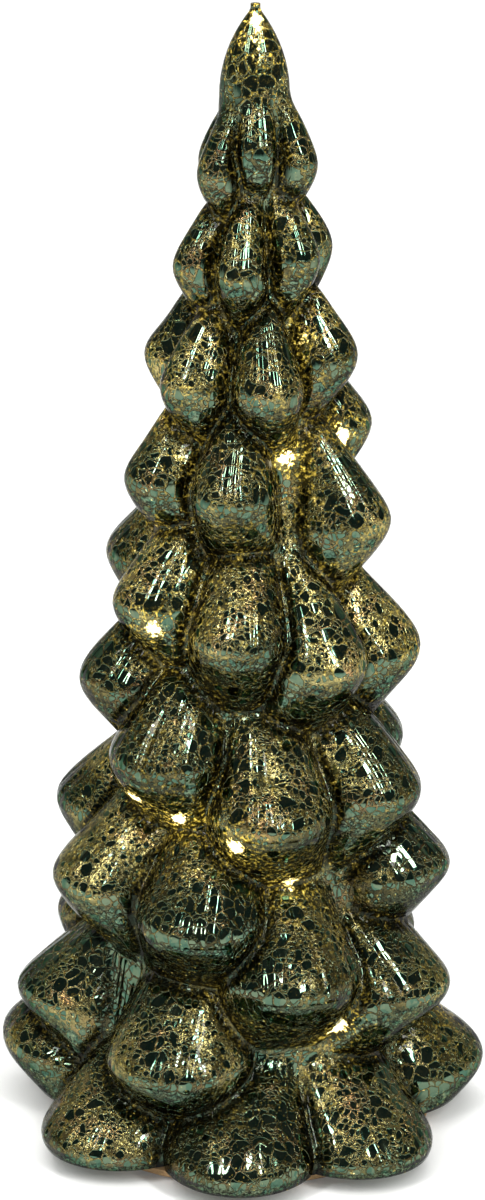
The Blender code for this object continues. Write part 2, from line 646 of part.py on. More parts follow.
def cells():
    """Three AAA cells, head to tail: a can, its shoulder and the nub of its positive end."""
    half = CELL_LENGTH / 2
    can_top = half - CELL_NUB_LENGTH
    edge = CELL_EDGE_ROUND
    rim = CELL_RADIUS - edge
    profile = ((0.0, half), (CELL_NUB_RADIUS, half), (CELL_NUB_RADIUS, can_top), (rim, can_top),
               (CELL_RADIUS, can_top - edge), (CELL_RADIUS, -half + edge), (rim, -half), (0.0, -half))
    for number in range(CELL_COUNT):
        end = contact_end(number)
        shift = -end * (BAY_END - CELL_SEAT - half)
        turn = Matrix.Rotation(-end * math.pi / 2, 4, "Y")
        place = Matrix.Translation((shift, cell_y(number), CELL_AXIS_HEIGHT)) @ turn
        turned(f"cell_{number + 1}", profile, CELL_JACKET, CELL_SIDES, place)


def contact_plate(name, end, first, last, tail):
    """A pressed plate on an end wall, over one bay or two, with a solder tail where one is wanted."""
    far = BAY_END - GAP
    near = far - PLATE_THICKNESS
    low, high = sorted((end * near, end * far))
    bottom = CELL_AXIS_HEIGHT - PLATE_HEIGHT / 2
    top = CELL_AXIS_HEIGHT + PLATE_HEIGHT / 2
    made = add_object(name, box_mesh(name, (low, cell_y(first) - PLATE_WIDTH / 2, bottom),
                                     (high, cell_y(last) + PLATE_WIDTH / 2, top)), PLATED_STEEL)
    if tail:
        middle = cell_y(first)
        strip = box_mesh("tail", (low, middle - TAIL_WIDTH / 2, top - PLATE_THICKNESS),
                         (high, middle + TAIL_WIDTH / 2, CASE_TOP + TAIL_RISE))
        combine(made, "UNION", [cutter(f"{name}_tail", strip)])


def contacts():
    """The plates that join the cells in series, and the two outer ones with their tails."""
    contact_plate("link_plate_1", -1, 0, 1, False)
    contact_plate("link_plate_2", 1, 1, 2, False)
    contact_plate("contact_positive", 1, 0, 0, True)
    contact_plate("contact_negative", -1, 2, 2, True)


def contact_springs():
    """A conical spring of a few curls between each cell's flat end and its plate."""
    wall_side = BAY_END - 2 * GAP - PLATE_THICKNESS - SPRING_WIRE_RADIUS
    cell_side = BAY_END - CELL_SEAT - CELL_LENGTH
    reach = wall_side + cell_side - GAP - SPRING_WIRE_RADIUS
    count = SPRING_CURLS * SPRING_POINTS_PER_CURL
    for number in range(CELL_COUNT):
        end = contact_end(number)
        points = []
        for step in range(count + 1):
            share = step / count
            angle = 2 * math.pi * step / SPRING_POINTS_PER_CURL
            radius = SPRING_WALL_RADIUS + (SPRING_CELL_RADIUS - SPRING_WALL_RADIUS) * share
            across = cell_y(number) + radius * math.cos(angle)
            height = CELL_AXIS_HEIGHT + radius * math.sin(angle)
            points.append(Vector((end * (wall_side - reach * share), across, height)))
        apart = SPRING_POINTS_PER_CURL // 2
        nearest = min((second - first).length for index, first in enumerate(points)
                      for second in points[index + apart:])
        least = (nearest - 2 * SPRING_WIRE_RADIUS) / MILLIMETRE
        print(f"contact_spring_{number + 1}: least gap {least:.2f} mm")
        wire(f"contact_spring_{number + 1}", points, SPRING_WIRE_RADIUS, PLATED_STEEL, 1)


def switch():
    """The slide switch: its frame over the slot in the floor, and the knob with its thumb tab."""
    middle = BOARD_BAY_CENTRE
    frame = add_object("switch_frame", box_mesh(
        "switch_frame", (-SWITCH_LENGTH / 2, middle - SWITCH_WIDTH / 2, FRAME_BOTTOM),
        (SWITCH_LENGTH / 2, middle + SWITCH_WIDTH / 2, FRAME_TOP)), PLATED_STEEL)
    slot = KNOB_TRAVEL + KNOB_STEM / 2 + GAP
    side = KNOB_STEM / 2 + GAP
    hollow = box_mesh("switch_hollow", (-slot, middle - side, DISC_BOTTOM),
                      (slot, middle + side, FRAME_BOTTOM + KNOB_DEPTH_IN_FRAME + GAP))
    combine(frame, "DIFFERENCE", [cutter("switch_hollow", hollow)])
    origin = Vector((0, middle, DISC_BOTTOM))
    place = Matrix.Translation(origin)
    stem = box_mesh("switch_knob", (-KNOB_STEM / 2, -KNOB_STEM / 2, -GAP - KNOB_TAB_THICKNESS / 2),
                    (KNOB_STEM / 2, KNOB_STEM / 2, FRAME_BOTTOM + KNOB_DEPTH_IN_FRAME - DISC_BOTTOM))
    knob = add_object("switch_knob", stem, WHITE_ACETAL, place)
    tab = box_mesh("knob_tab", (-KNOB_TAB_LENGTH / 2, -KNOB_TAB_WIDTH / 2, -GAP - KNOB_TAB_THICKNESS),
                   (KNOB_TAB_LENGTH / 2, KNOB_TAB_WIDTH / 2, -GAP))
    combine(knob, "UNION", [cutter("knob_tab", tab, place)])


def circuit():
    """The board on the switch frame, with the timer chip's resin dome, the crystal can and the resistor."""
    middle = BOARD_BAY_CENTRE
    add_object("circuit_board", box_mesh(
        "circuit_board", (-BOARD_LENGTH / 2, middle - BOARD_WIDTH / 2, BOARD_BOTTOM),
        (BOARD_LENGTH / 2, middle + BOARD_WIDTH / 2, BOARD_TOP)), BOARD_GREEN)
    bends = [math.pi / 2 * step / CHIP_STEPS for step in range(CHIP_STEPS + 1)]
    dome = [(CHIP_RADIUS * math.sin(bend), CHIP_HEIGHT * math.cos(bend)) for bend in bends]
    place = Matrix.Translation((CHIP_X, middle, BOARD_TOP + GAP))
    turned("timer_chip", (*dome, (0.0, 0.0)), EPOXY, SMALL_SIDES, place)
    crystal_height = BOARD_TOP + GAP + CRYSTAL_RADIUS
    crystal = rod_mesh("crystal", CRYSTAL_RADIUS, (CRYSTAL_X - CRYSTAL_LENGTH, middle, crystal_height),
                       (CRYSTAL_X, middle, crystal_height), SMALL_SIDES)
    add_object("crystal", crystal, PLATED_STEEL)
    resistor_height = BOARD_TOP + GAP + RESISTOR_RADIUS
    offset = middle + BOARD_WIDTH / 2 - 2 * RESISTOR_RADIUS
    resistor = rod_mesh("resistor", RESISTOR_RADIUS, (CRYSTAL_X - RESISTOR_LENGTH, offset, resistor_height),
                        (CRYSTAL_X, offset, resistor_height), SMALL_SIDES)
    add_object("resistor", resistor, CERAMIC_BUFF)


def leads():
    """The two insulated leads from the outer contacts' tails, over the case and down to the board."""
    for name, side, number in (("lead_positive", 1, 0), ("lead_negative", -1, CELL_COUNT - 1)):
        finish = RED_LEAD if side > 0 else BLACK_LEAD
        tail = Vector((side * (BAY_END - GAP - PLATE_THICKNESS - GAP - LEAD_RADIUS), cell_y(number),
                       CASE_TOP + GAP + LEAD_RADIUS))
        entry = Vector((side * LEAD_ENTRY_X, BOARD_BAY_CENTRE, COVER_TOP + LEAD_ARCH))
        over = Vector((entry.x, BOARD_BAY_FRONT - CASE_WALL, entry.z + LEAD_RADIUS))
        along = (tail + over) / 2 + Vector((0, 0, LEAD_RADIUS))
        end = Vector((side * LEAD_ENTRY_X, BOARD_BAY_CENTRE, BOARD_TOP + GAP))
        route = smooth_route([tail, along, over, entry, end], LEAD_SAMPLES)
        wire(name, route, LEAD_RADIUS, finish, 1)


def string_point(degrees, height):
    """A point of the light string, just inside the glass at a turn and a height."""
    turn = math.radians(degrees)
    radius = float(trunk_radius(np.array(height))) - STRING_INSET
    return Vector((radius * math.sin(turn), -radius * math.cos(turn), height))


def string_route():
    """The smooth route of the light string, and the places along it where the LEDs sit."""
    start = Vector((0.0, BOARD_BAY_CENTRE, BOARD_TOP + GAP))
    above = Vector((0.0, BOARD_BAY_CENTRE, COVER_TOP + LED_LENGTH))
    turns = [math.degrees(math.atan2(above.x, -above.y))]
    radii = [math.hypot(above.x, above.y)]
    heights = [above.z]
    for degrees, share in LED_ROUTE:
        point = string_point(degrees, share * THOUSANDTH * TREE_TOP)
        turns.append(degrees)
        radii.append(math.hypot(point.x, point.y))
        heights.append(point.z)
    cylinder = [Vector(row) for row in zip(turns, radii, heights)]
    route = []
    for spot in smooth_route(cylinder, LED_SAMPLES):
        turn = math.radians(spot.x)
        route.append(Vector((spot.y * math.sin(turn), -spot.y * math.cos(turn), spot.z)))
    tip = Vector((0.0, 0.0, TREE_TOP - TIP_LED_DROP))
    last = route[-1]
    bend = last.lerp(tip, 1 / 3) + Vector((0, 0, LED_LENGTH / 2))
    climb = [bend, tip - Vector((0, 0, 2 * LED_LENGTH)), tip]
    finish = smooth_route([route[-2], last, *climb], LED_SAMPLES)[LED_SAMPLES + 1:]
    return [start, above - Vector((0, 0, LED_LENGTH / 2)), *route, *finish]


def light_string():
    """The copper string with a straight piece through each LED, and the LEDs' resin drops."""
    route = string_route()
    lengths = [0.0]
    for first, second in zip(route, route[1:]):
        lengths.append(lengths[-1] + (second - first).length)
    lamps = [2 + LED_SAMPLES * (number + 1) for number in range(len(LED_ROUTE))]
    stops = [lengths[index] for index in lamps] + [lengths[-1] - LED_LENGTH]
    along = np.array(lengths)
    table = np.array([tuple(point) for point in route])

    def at(length):
        return Vector([float(np.interp(length, along, table[:, axis])) for axis in range(3)])

    half = LED_LENGTH / 2 + GAP
    points = [at(0.0)]
    cursor = 0.0
    for number, stop in enumerate(stops, 1):
        gap = stop - half - cursor
        count = max(1, round(gap / STRING_STEP))
        points += [at(cursor + gap * step / count) for step in range(1, count + 1)]
        end = at(stop + half)
        points.append(end)
        cursor = stop + half
        start = at(stop - half)
        lean = (end - start).to_track_quat("Z", "Y").to_matrix().to_4x4()
        led(f"led_{number:02d}", Matrix.Translation((start + end) / 2) @ lean)
    wire("light_wire", points, STRING_RADIUS, COPPER, 1)


def led(name, place):
    """One micro LED: a drop of clear resin round the string."""
    bore = STRING_RADIUS + LED_BORE_CLEARANCE
    half = LED_LENGTH / 2
    shoulder = bore + LED_SHOULDER * (LED_RADIUS - bore)
    profile = ((bore, half), (shoulder, half / 2), (LED_RADIUS, 0.0), (shoulder, -half / 2), (bore, -half))
    turned(name, profile, LED_RESIN, LED_SIDES, place)


def case_screws():
    """Four countersunk screws that hold the case's flange to the disc, with a cross in each head."""
    profile = ((0.0, SCREW_LENGTH), (SCREW_POINT_RADIUS, SCREW_LENGTH),
               (SCREW_RADIUS, SCREW_LENGTH - SCREW_POINT_LENGTH), (SCREW_RADIUS, SCREW_HEAD_DEPTH),
               (SCREW_HEAD_RADIUS, 0.0), (0.0, 0.0))
    for number, place in enumerate(screw_places(), 1):
        made = turned(f"case_screw_{number}", profile, PLATED_STEEL, SCREW_SIDES, Matrix.Translation(place))
        bars = []
        half_length = SCREW_CROSS_LENGTH / 2
        half_width = SCREW_CROSS_WIDTH / 2
        for along, across in ((half_length, half_width), (half_width, half_length)):
            corner = Vector((along, across, SCREW_CROSS_DEPTH))
            bar = box_mesh("cross", -corner, corner)
            bars.append(cutter(f"cross_{number}_{len(bars)}", bar, Matrix.Translation(place)))
        combine(made, "DIFFERENCE", bars)


clear_scene()
PARTS = new_collection("led_christmas_tree")
CUTTERS = new_collection("cutters")
GLASS = material("mercury_glass", (0.045, 0.060, 0.035), 0.12, 0.5)
FIBREBOARD = material("fibreboard", (0.52, 0.34, 0.20), 0.75)
FELT = material("felt", (0.05, 0.05, 0.05), 0.95)
GLUE = material("clear_adhesive", (0.70, 0.68, 0.60), 0.30)
BLACK_ABS = material("black_abs", (0.015, 0.015, 0.016), 0.42)
CELL_JACKET = material("cell_jacket", (0.10, 0.16, 0.30), 0.35)
PLATED_STEEL = material("plated_steel", (0.62, 0.62, 0.60), 0.30, 1.0)
WHITE_ACETAL = material("white_acetal", (0.80, 0.80, 0.78), 0.40)
BOARD_GREEN = material("board_green", (0.03, 0.20, 0.08), 0.45)
EPOXY = material("epoxy", (0.012, 0.012, 0.013), 0.25)
CERAMIC_BUFF = material("resistor_body", (0.60, 0.48, 0.30), 0.55)
RED_LEAD = material("red_lead", (0.50, 0.02, 0.02), 0.45)
BLACK_LEAD = material("black_lead", (0.02, 0.02, 0.02), 0.45)
COPPER = material("lacquered_copper", (0.72, 0.36, 0.18), 0.30, 1.0)
LED_RESIN = material("led_resin", (0.95, 0.86, 0.55), 0.15)

glass_tree()
base_disc()
foot_pads()
glue_ring()
battery_case()
battery_door()
board_cover()
cells()
contacts()
contact_springs()
switch()
circuit()
leads()
light_string()
case_screws()
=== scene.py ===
"""Looks of the LED Christmas tree: the blown mercury glass, its lights, the pieces in its foot and the studio."""

import math

import bmesh
import bpy
import numpy as np
from bpy.props import FloatProperty, FloatVectorProperty, IntProperty, PointerProperty
from mathutils import Matrix, Vector, noise


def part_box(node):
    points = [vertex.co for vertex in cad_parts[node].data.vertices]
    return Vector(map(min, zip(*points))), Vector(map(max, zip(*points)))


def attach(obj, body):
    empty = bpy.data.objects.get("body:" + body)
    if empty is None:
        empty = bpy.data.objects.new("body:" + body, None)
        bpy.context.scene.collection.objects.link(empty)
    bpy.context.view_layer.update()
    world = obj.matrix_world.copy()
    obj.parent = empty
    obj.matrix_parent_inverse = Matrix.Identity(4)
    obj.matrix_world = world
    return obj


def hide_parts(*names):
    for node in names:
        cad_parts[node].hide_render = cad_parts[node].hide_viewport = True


bl_info = {
    "name": "LED Christmas tree",
    "version": (1, 0, 0),
    "blender": (4, 5, 0),
    "location": "3D View > Sidebar > LED tree",
    "description": "Blows the mercury-glass tree, finishes the pieces in its foot and sets the studio",
    "category": "Object",
}

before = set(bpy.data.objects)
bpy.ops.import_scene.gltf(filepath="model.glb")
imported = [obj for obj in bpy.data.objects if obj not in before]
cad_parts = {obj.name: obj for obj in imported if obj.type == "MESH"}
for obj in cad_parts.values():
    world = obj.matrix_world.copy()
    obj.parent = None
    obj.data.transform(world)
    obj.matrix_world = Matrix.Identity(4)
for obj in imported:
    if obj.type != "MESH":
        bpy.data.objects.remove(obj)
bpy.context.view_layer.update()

MILLIMETRE = 0.001
THOUSANDTH = 0.001
WELD_DISTANCE = 0.00001

# The glass blank, as in the part's source
TREE_TOP = 0.322
GLASS_FOOT = 0.0054
FOOT_OPENING_RADIUS = 0.0455
TRUNK_FOOT_RADIUS = 0.0465
DOME_RADIUS = 0.0094
DOME_HEIGHT = 0.026
DOME_POWER = 2.2
NIB_RADIUS = 0.0013
DOME_START = TREE_TOP - DOME_HEIGHT

# The branch lobes, as in the part's source
REACH_FOOT, REACH_TOP = 0.0235, 0.0088
REACH_SWELL = 0.0035
SWELL_LOW = 0.12
SWELL_LENGTH = 0.71
FALL_FOOT, FALL_TOP = 1.25, 0.50
TUCK_FOOT, TUCK_TOP = 1.05, 0.52
ROUND_FOOT, ROUND_TOP = 0.0060, 0.0024
SPREAD_FOOT, SPREAD_TOP = 30.0, 40.0
NECK_NARROWING = 0.50
NECK_LENGTH = 0.034
FLANK_POWER = 1.10
CREASE_SHARPNESS = 14.0
CREASE_DEPTH = 0.0009
CREASE_WIDTH = 0.0018
CREASE_START = 0.0028

# Each round of branches from the top down: turns in degrees from the front and the heights of the tips, in
# thousandths of the tree's height
BRANCH_ROUNDS = (
    ((-126, 860), (-47, 863), (3, 882), (63, 870), (120, 866), (178, 873)),
    ((-138, 776), (-62, 780), (-11, 783), (46, 792), (108, 786), (170, 783)),
    ((-109, 689), (-47, 686), (13, 689), (76, 702), (130, 689), (-170, 686)),
    ((-66, 599), (-11, 599), (68, 565), (112, 627), (166, 602), (-148, 596)),
    ((-118, 503), (-52, 500), (-5, 481), (36, 457), (142, 497), (-172, 506)),
    ((-72, 419), (-40, 370), (91, 438), (-128, 391), (176, 407)),
    ((11, 329), (61, 332), (132, 323), (-110, 276), (-160, 301)),
    ((-66, 245), (-18, 236), (18, 186), (79, 248), (126, 217), (174, 199), (-126, 155)),
    ((-90, 115), (-25, 109), (62, 155), (138, 130), (176, 106), (-148, 106)),
    ((-98, 59), (-48, 28), (-1, 31), (42, 28), (95, 47), (145, 37), (-150, 34)),
)
# Branches that stand out further than the rest, by turn and height, in shares of the swell
REACH_CHANGES = {(-98, 59): 0.63, (68, 565): 0.43, (-47, 863): 0.29, (63, 870): 0.46, (91, 438): 0.17,
                 (176, 106): 0.80}

# The dents and swellings that hand blowing leaves in the lobes: how far they go either way, and their length
DENT_DEPTH = 0.0009
DENT_LENGTH = 0.015

# The dark line painted as shade at the bottom of each fold, where two lobes meet: its width, and the step and least
# slope that place it
FOLD_WIDTH = 0.0025
FOLD_STEP = 0.0001
FOLD_SLOPE = 0.15

# The mould's ripples: the radius in millimetres at which they are 2 mm apart, and how many times their height a
# noise needs, because it swings by about a quarter of its range
RIPPLE_RADIUS = 45.0
NOISE_GAIN = 4

# The glow of the lights in the glass
LED_COUNT = 15
SPOT_RADIUS = 0.0026
HALO_RADIUS = 0.0062
TIP_SPOT_TURN = 8.0
TIP_SPOT_RADIUS = 0.0018
# LEDs that show off the straight way out, where the lining is thinner, or brighter or fainter than the rest: by
# number, with the degrees round, the metres up and the brightness
SPOT_CHANGES = {2: (-2.0, -0.0050, 1.30), 3: (0.0, 0.0, 0.80), 4: (0.5, 0.0013, 1.15), 5: (-1.5, -0.0008, 1.0),
                6: (5.2, -0.0006, 0.95), 9: (-2.6, 0.0, 1.0), 13: (-2.0, -0.0057, 0.90), 14: (1.0, -0.0020, 0.36)}
# Where the LED in the tip shows: a streak down the front, by height and by how bright it is there
TIP_STREAK = ((0.3185, 1.0), (0.3160, 0.60), (0.3130, 0.50), (0.3098, 0.40))
HALO_FADING = -2.0

# How far a face has to look down to count as an underside, and how fast that takes effect
UNDER_START = 0.1
UNDER_GAIN = 1.6

# The cells in the foot, as in the part's source, but round
CELL_COUNT = 3
CELL_RADIUS = 0.00525
CELL_NUB_RADIUS = 0.0019
CELL_NUB_LENGTH = 0.0009
CELL_EDGE_ROUND = 0.0004
CELL_NUB_ROUND = 0.0002
CELL_STEPS = 64
ROUND_STEPS = 5
# Where its steel and its silver band begin, from the middle of a cell
STEEL_START = 0.0208
BAND_START = 0.0120

# The studio: sizes in metres
FLOOR_HALF_WIDTH = 5.0
FLOOR_FRONT = -5.0
WALL_PLACE = 2.8
WALL_HEIGHT = 3.0
SWEEP_RADIUS = 0.9
SWEEP_STEPS = 12
GROUND_LIFT = 0.10
# The strip lights: name, place, size and share of the strips' power
STRIPS = (("strip_right", (0.95, -1.25, 1.35), (0.20, 1.15), 1.0),
          ("strip_left", (-0.85, -1.15, 1.40), (0.16, 0.95), 0.60),
          ("strip_back", (-0.80, 1.20, 1.30), (0.10, 0.70), 0.3))
CAMERA_PLACE = (0.0, -1.57, 0.80)
CAMERA_PITCH = 68.0
CAMERA_ROLL = 0.62
CAMERA_LENS = 125.0
SENSOR_HEIGHT = 24.0
CAMERA_SHIFT = (-0.00583, -0.0357)


def linear(code):
    """An sRGB hex colour as linear red, green and blue with full alpha."""
    parts = [int(code[index:index + 2], 16) / 255 for index in (1, 3, 5)]
    return (*[part / 12.92 if part <= 0.04045 else ((part + 0.055) / 1.055) ** 2.4 for part in parts], 1.0)


def colour(name, description, code):
    """A colour that a user can change, from its sRGB hex value."""
    return FloatVectorProperty(name=name, description=description, subtype="COLOR", size=4, min=0.0, max=1.0,
                               default=linear(code))


class GlassSettings(bpy.types.PropertyGroup):
    """Sizes and colours of the blown glass."""
    wall: FloatProperty(name="Wall", description="Thickness of the glass", default=0.0022, min=0.001, max=0.004,
                        unit="LENGTH", subtype="DISTANCE")
    columns: IntProperty(name="Columns", description="Faces round the glass", default=240, min=24, max=260)
    rows: IntProperty(name="Rows", description="Faces from the foot to the dome", default=184, min=20, max=186)
    dome_rows: IntProperty(name="Dome rows", description="Faces up the dome", default=15, min=4, max=20)
    droplet: FloatProperty(name="Droplet", description="Size of the largest bare droplets in the lining",
                           default=0.0036, min=0.001, max=0.01, unit="LENGTH", subtype="DISTANCE")
    ripple: FloatProperty(name="Ripple", description="Height of the mould's ripples on the lobes", default=0.0002,
                          min=0.0, max=0.001, unit="LENGTH", subtype="DISTANCE")
    glow: FloatProperty(name="Glow", description="Strength of the lights in the glass", default=0.7, min=0.0, max=10.0)
    haze: FloatProperty(name="Haze", description="Light that the inside of the glass scatters everywhere", default=0.07,
                        min=0.0, max=1.0)
    dark: colour("Green glass", "Bare glass between the veins of the lining", "#68765e")
    shade: colour("Teal glass", "Deeper patches of the bare glass", "#446352")
    gold: colour("Gold", "Veins of the lining", "#958c5c")
    olive: colour("Olive", "Thin veins of the lining", "#47482f")
    bronze: colour("Bronze", "Burnt veins of the lining", "#aa845c")
    # Painted shade: the darker colour of the net on faces that look down under the lobes
    underside_shade: colour("Dust", "Dusty lining under the lobes", "#3e402d")
    warm: colour("Warm light", "Light round the lamps", "#f3d150")
    hot: colour("Hot light", "Light right at the lamps", "#fff6cc")


class FootSettings(bpy.types.PropertyGroup):
    """Colours of the pieces in and under the foot."""
    fibreboard: colour("Fibreboard", "Bare fibreboard of the base disc", "#b8956b")
    felt: colour("Felt", "Felt pads", "#3a3a3c")
    case: colour("Case", "Moulded case, door and cover", "#232325")
    knob: colour("Knob", "Switch knob", "#e6e4de")
    jacket: colour("Jacket", "Film jacket of the cells", "#2f3f63")
    board: colour("Board", "Solder mask of the circuit board", "#1f6b3c")


class StudioSettings(bpy.types.PropertyGroup):
    """Light and ground of the studio."""
    ground: colour("Ground", "Pale floor and wall", "#f4f4f2")
    sky: colour("Sky", "Dim room above the lamps", "#8d9092")
    sky_strength: FloatProperty(name="Sky strength", description="Light of the room", default=0.25, min=0.0, max=5.0)
    top_power: FloatProperty(name="Top light", description="Power of the soft light overhead", default=60.0, min=0.0,
                             max=500.0, unit="POWER")
    strip_power: FloatProperty(name="Strip lights", description="Power of each strip light", default=24.5, min=0.0,
                               max=200.0, unit="POWER")


def add_node(tree, kind, inputs=None, **settings):
    """Adds a shader node with its settings, sets or links its inputs, and gives its outputs."""
    made = tree.nodes.new("ShaderNode" + kind)
    for name, value in settings.items():
        setattr(made, name, value)
    for socket, value in (inputs or {}).items():
        if isinstance(value, bpy.types.NodeSocket):
            tree.links.new(value, made.inputs[socket])
        else:
            made.inputs[socket].default_value = value
    return made.outputs


def new_material(name, **values):
    """A material with its node tree and its Principled shader, whose fixed values are set on the shader."""
    made = bpy.data.materials.new(name)
    made.use_nodes = True
    shader = made.node_tree.nodes["Principled BSDF"]
    for socket, value in values.items():
        shader.inputs[socket.replace("_", " ")].default_value = value
    return made, made.node_tree, shader


def link(tree, shader, **outputs):
    """Links outputs to the shader's sockets."""
    for socket, output in outputs.items():
        tree.links.new(output, shader.inputs[socket.replace("_", " ")])


def varied(tree, shade, pattern, ends, factors):
    """A colour times the first factor at a pattern's low end and the second at its high one."""
    factor = add_node(tree, "MapRange", {"Value": pattern, "From Min": ends[0], "From Max": ends[1],
                                         "To Min": factors[0], "To Max": factors[1]})[0]
    return add_node(tree, "VectorMath", {0: tuple(shade)[:3], "Scale": factor}, operation="SCALE")[0]


def by_height(height, foot_value, top_value):
    """A value that changes evenly from the foot of the tree to its top."""
    return foot_value + (top_value - foot_value) * height / TREE_TOP


def trunk_radius(height):
    """The radius that the creases between the branches reach, with the pointed dome at the top."""
    taper = np.maximum(by_height(height, TRUNK_FOOT_RADIUS, 0.0), DOME_RADIUS)
    share = np.clip((height - DOME_START) / DOME_HEIGHT, 0.0, 1.0)
    return np.maximum(taper * (1.0 - share ** DOME_POWER), NIB_RADIUS)


def branch_reach(height):
    """How far the tip of a branch at this height stands out from the axis."""
    share = height / TREE_TOP
    swell = REACH_SWELL * max(0.0, math.sin(math.pi * (share - SWELL_LOW) / SWELL_LENGTH))
    return by_height(height, TRUNK_FOOT_RADIUS + REACH_FOOT, REACH_TOP) + swell


def branch_push(turn, height, branch_turn, tip_height, reach_change):
    """How far one branch pushes the glass out of the trunk at a turn and a height."""
    above = height - tip_height
    roundness = by_height(tip_height, ROUND_FOOT, ROUND_TOP)
    fall = by_height(tip_height, FALL_FOOT, FALL_TOP) * above / roundness
    tuck = -by_height(tip_height, TUCK_FOOT, TUCK_TOP) * above / roundness
    reach = branch_reach(tip_height) + reach_change
    ridge = reach + roundness * (math.log(2.0) - np.logaddexp(fall, tuck))
    narrowing = 1.0 - NECK_NARROWING * np.clip(above / NECK_LENGTH, 0.0, 1.0)
    spread = math.radians(by_height(tip_height, SPREAD_FOOT, SPREAD_TOP)) * narrowing
    aside = np.abs((turn - branch_turn + math.pi) % (2 * math.pi) - math.pi) / spread
    flank = np.clip(1.0 - aside ** 2, 0.0, 1.0) ** FLANK_POWER
    return np.maximum(ridge - trunk_radius(height), 0.0) * flank


def lobe_pushes(turn, height):
    """How far each branch pushes the glass out at each point, the least first."""
    pushes = []
    for branch_round in BRANCH_ROUNDS:
        for degrees, tip in branch_round:
            change = REACH_CHANGES.get((degrees, tip), 0.0) * REACH_SWELL
            pushes.append(branch_push(turn, height, math.radians(degrees), tip * THOUSANDTH * TREE_TOP, change))
    return np.sort(np.array(pushes), axis=0)


def blow(turn, height):
    """The outer radius of the glass at each point, and how deep in a crease between two lobes it lies."""
    pushes = lobe_pushes(turn, height)
    total = ((pushes / MILLIMETRE) ** CREASE_SHARPNESS).sum(axis=0) ** (1.0 / CREASE_SHARPNESS) * MILLIMETRE
    apart = (pushes[-1] - pushes[-2]) / CREASE_WIDTH
    crease = np.exp(-apart ** 2) * np.clip(total / CREASE_START, 0.0, 1.0)
    return trunk_radius(height) + total - CREASE_DEPTH * crease, crease


def dents(turn, height, radius):
    """How far each point of the glass stands off its regular form, which it keeps at the foot and the dome."""
    fading = np.clip(np.minimum(height - GLASS_FOOT, DOME_START - height) / DENT_LENGTH, 0.0, 1.0)
    places = zip(radius * np.sin(turn), -radius * np.cos(turn), height)
    return DENT_DEPTH * fading * np.array([noise.noise(Vector(place) / DENT_LENGTH) for place in places])


def fold_lines(turn, height, radius):
    """How near each point is to a line where two lobes meet: 1 on the line, and little past the line's width."""
    def lead(turns, heights):
        pushes = lobe_pushes(turns, heights)
        return pushes[-1] - pushes[-2]

    aside = FOLD_STEP / radius
    up = (lead(turn, height + FOLD_STEP) - lead(turn, height - FOLD_STEP)) / (2 * FOLD_STEP)
    around = (lead(turn + aside, height) - lead(turn - aside, height)) / (2 * FOLD_STEP)
    away = lead(turn, height) / np.maximum(np.hypot(up, around), FOLD_SLOPE)
    bulge = np.clip((radius - trunk_radius(height)) / CREASE_START, 0.0, 1.0)
    return np.exp(-(away / FOLD_WIDTH) ** 2) * bulge


def led_spots():
    """Where each LED shines out through the glass, how brightly and how wide.

    It shows nearly straight outward from the LED, and for the last one in a streak down the front of the tip.
    """
    rows = []
    for number in range(1, LED_COUNT + 1):
        low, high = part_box(f"led_{number:02d}")
        across, along, middle = [(first + second) / 2 for first, second in zip(low, high)]
        aside, up, bright = SPOT_CHANGES.get(number, (0.0, 0.0, 1.0))
        turn = math.atan2(across, -along) + math.radians(aside)
        shown = ((middle + up, bright),)
        width = SPOT_RADIUS
        if number == LED_COUNT:
            turn = math.radians(TIP_SPOT_TURN)
            shown = TIP_STREAK
            width = TIP_SPOT_RADIUS
        for height, bright in shown:
            radius = float(blow(np.array([turn]), np.array([height]))[0][0])
            rows.append((radius * math.sin(turn), -radius * math.cos(turn), height, bright, width))
    return np.array(rows)


def lamp_light(verts):
    """How brightly the LEDs show at each vertex: in a spot right at each, and in the halo round it."""
    places = np.array([vert.co for vert in verts])
    spots = np.zeros(len(places))
    halos = np.zeros(len(places))
    for across, along, height, bright, width in led_spots():
        away = np.linalg.norm(places - (across, along, height), axis=1)
        spots += bright * np.exp(-(away / width) ** 2)
        halos += bright * (1.0 + (away / HALO_RADIUS) ** 2) ** HALO_FADING
    return spots, halos


def mesh_object(name, shape):
    """Makes an object of a bmesh, at the origin and shaded smooth."""
    mesh = bpy.data.meshes.new(name)
    shape.to_mesh(mesh)
    shape.free()
    mesh.shade_smooth()
    made = bpy.data.objects.new(name, mesh)
    bpy.context.scene.collection.objects.link(made)
    return made


def droplets(tree, vector, size, least, most, burst, rim):
    """One layer of round droplets where the lining burst: how open each is, how far its rim is, and its own tone.

    The size is the spacing of the droplets in millimetres, and the least and most radius are shares of it.
    """
    scale = 1.0 / size
    cell = add_node(tree, "TexVoronoi", {"Vector": vector, "Scale": scale})
    edge = add_node(tree, "TexVoronoi", {"Vector": vector, "Scale": scale}, feature="DISTANCE_TO_EDGE")[0]
    tone = add_node(tree, "SeparateColor", {0: cell["Color"]})["Red"]
    base = add_node(tree, "Math", {0: burst, 1: least}, operation="ADD")[0]
    radius = add_node(tree, "Math", {0: tone, 1: most - least, 2: base}, operation="MULTIPLY_ADD")[0]
    inside = add_node(tree, "Math", {0: radius, 1: cell["Distance"]}, operation="SUBTRACT")[0]
    wall = add_node(tree, "Math", {0: edge, 1: rim / 2 / size}, operation="SUBTRACT")[0]
    depth = add_node(tree, "Math", {0: inside, 1: wall}, operation="MINIMUM")[0]
    soft = 0.10 / size
    opened = add_node(tree, "MapRange", {"Value": depth, "From Min": -soft, "From Max": soft},
                      interpolation_type="SMOOTHSTEP")[0]
    beyond = add_node(tree, "MapRange", {"Value": inside, "From Min": -rim / size - soft, "From Max": soft - rim / size,
                                         "To Min": 1.0, "To Max": 0.0})[0]
    return opened, beyond, tone


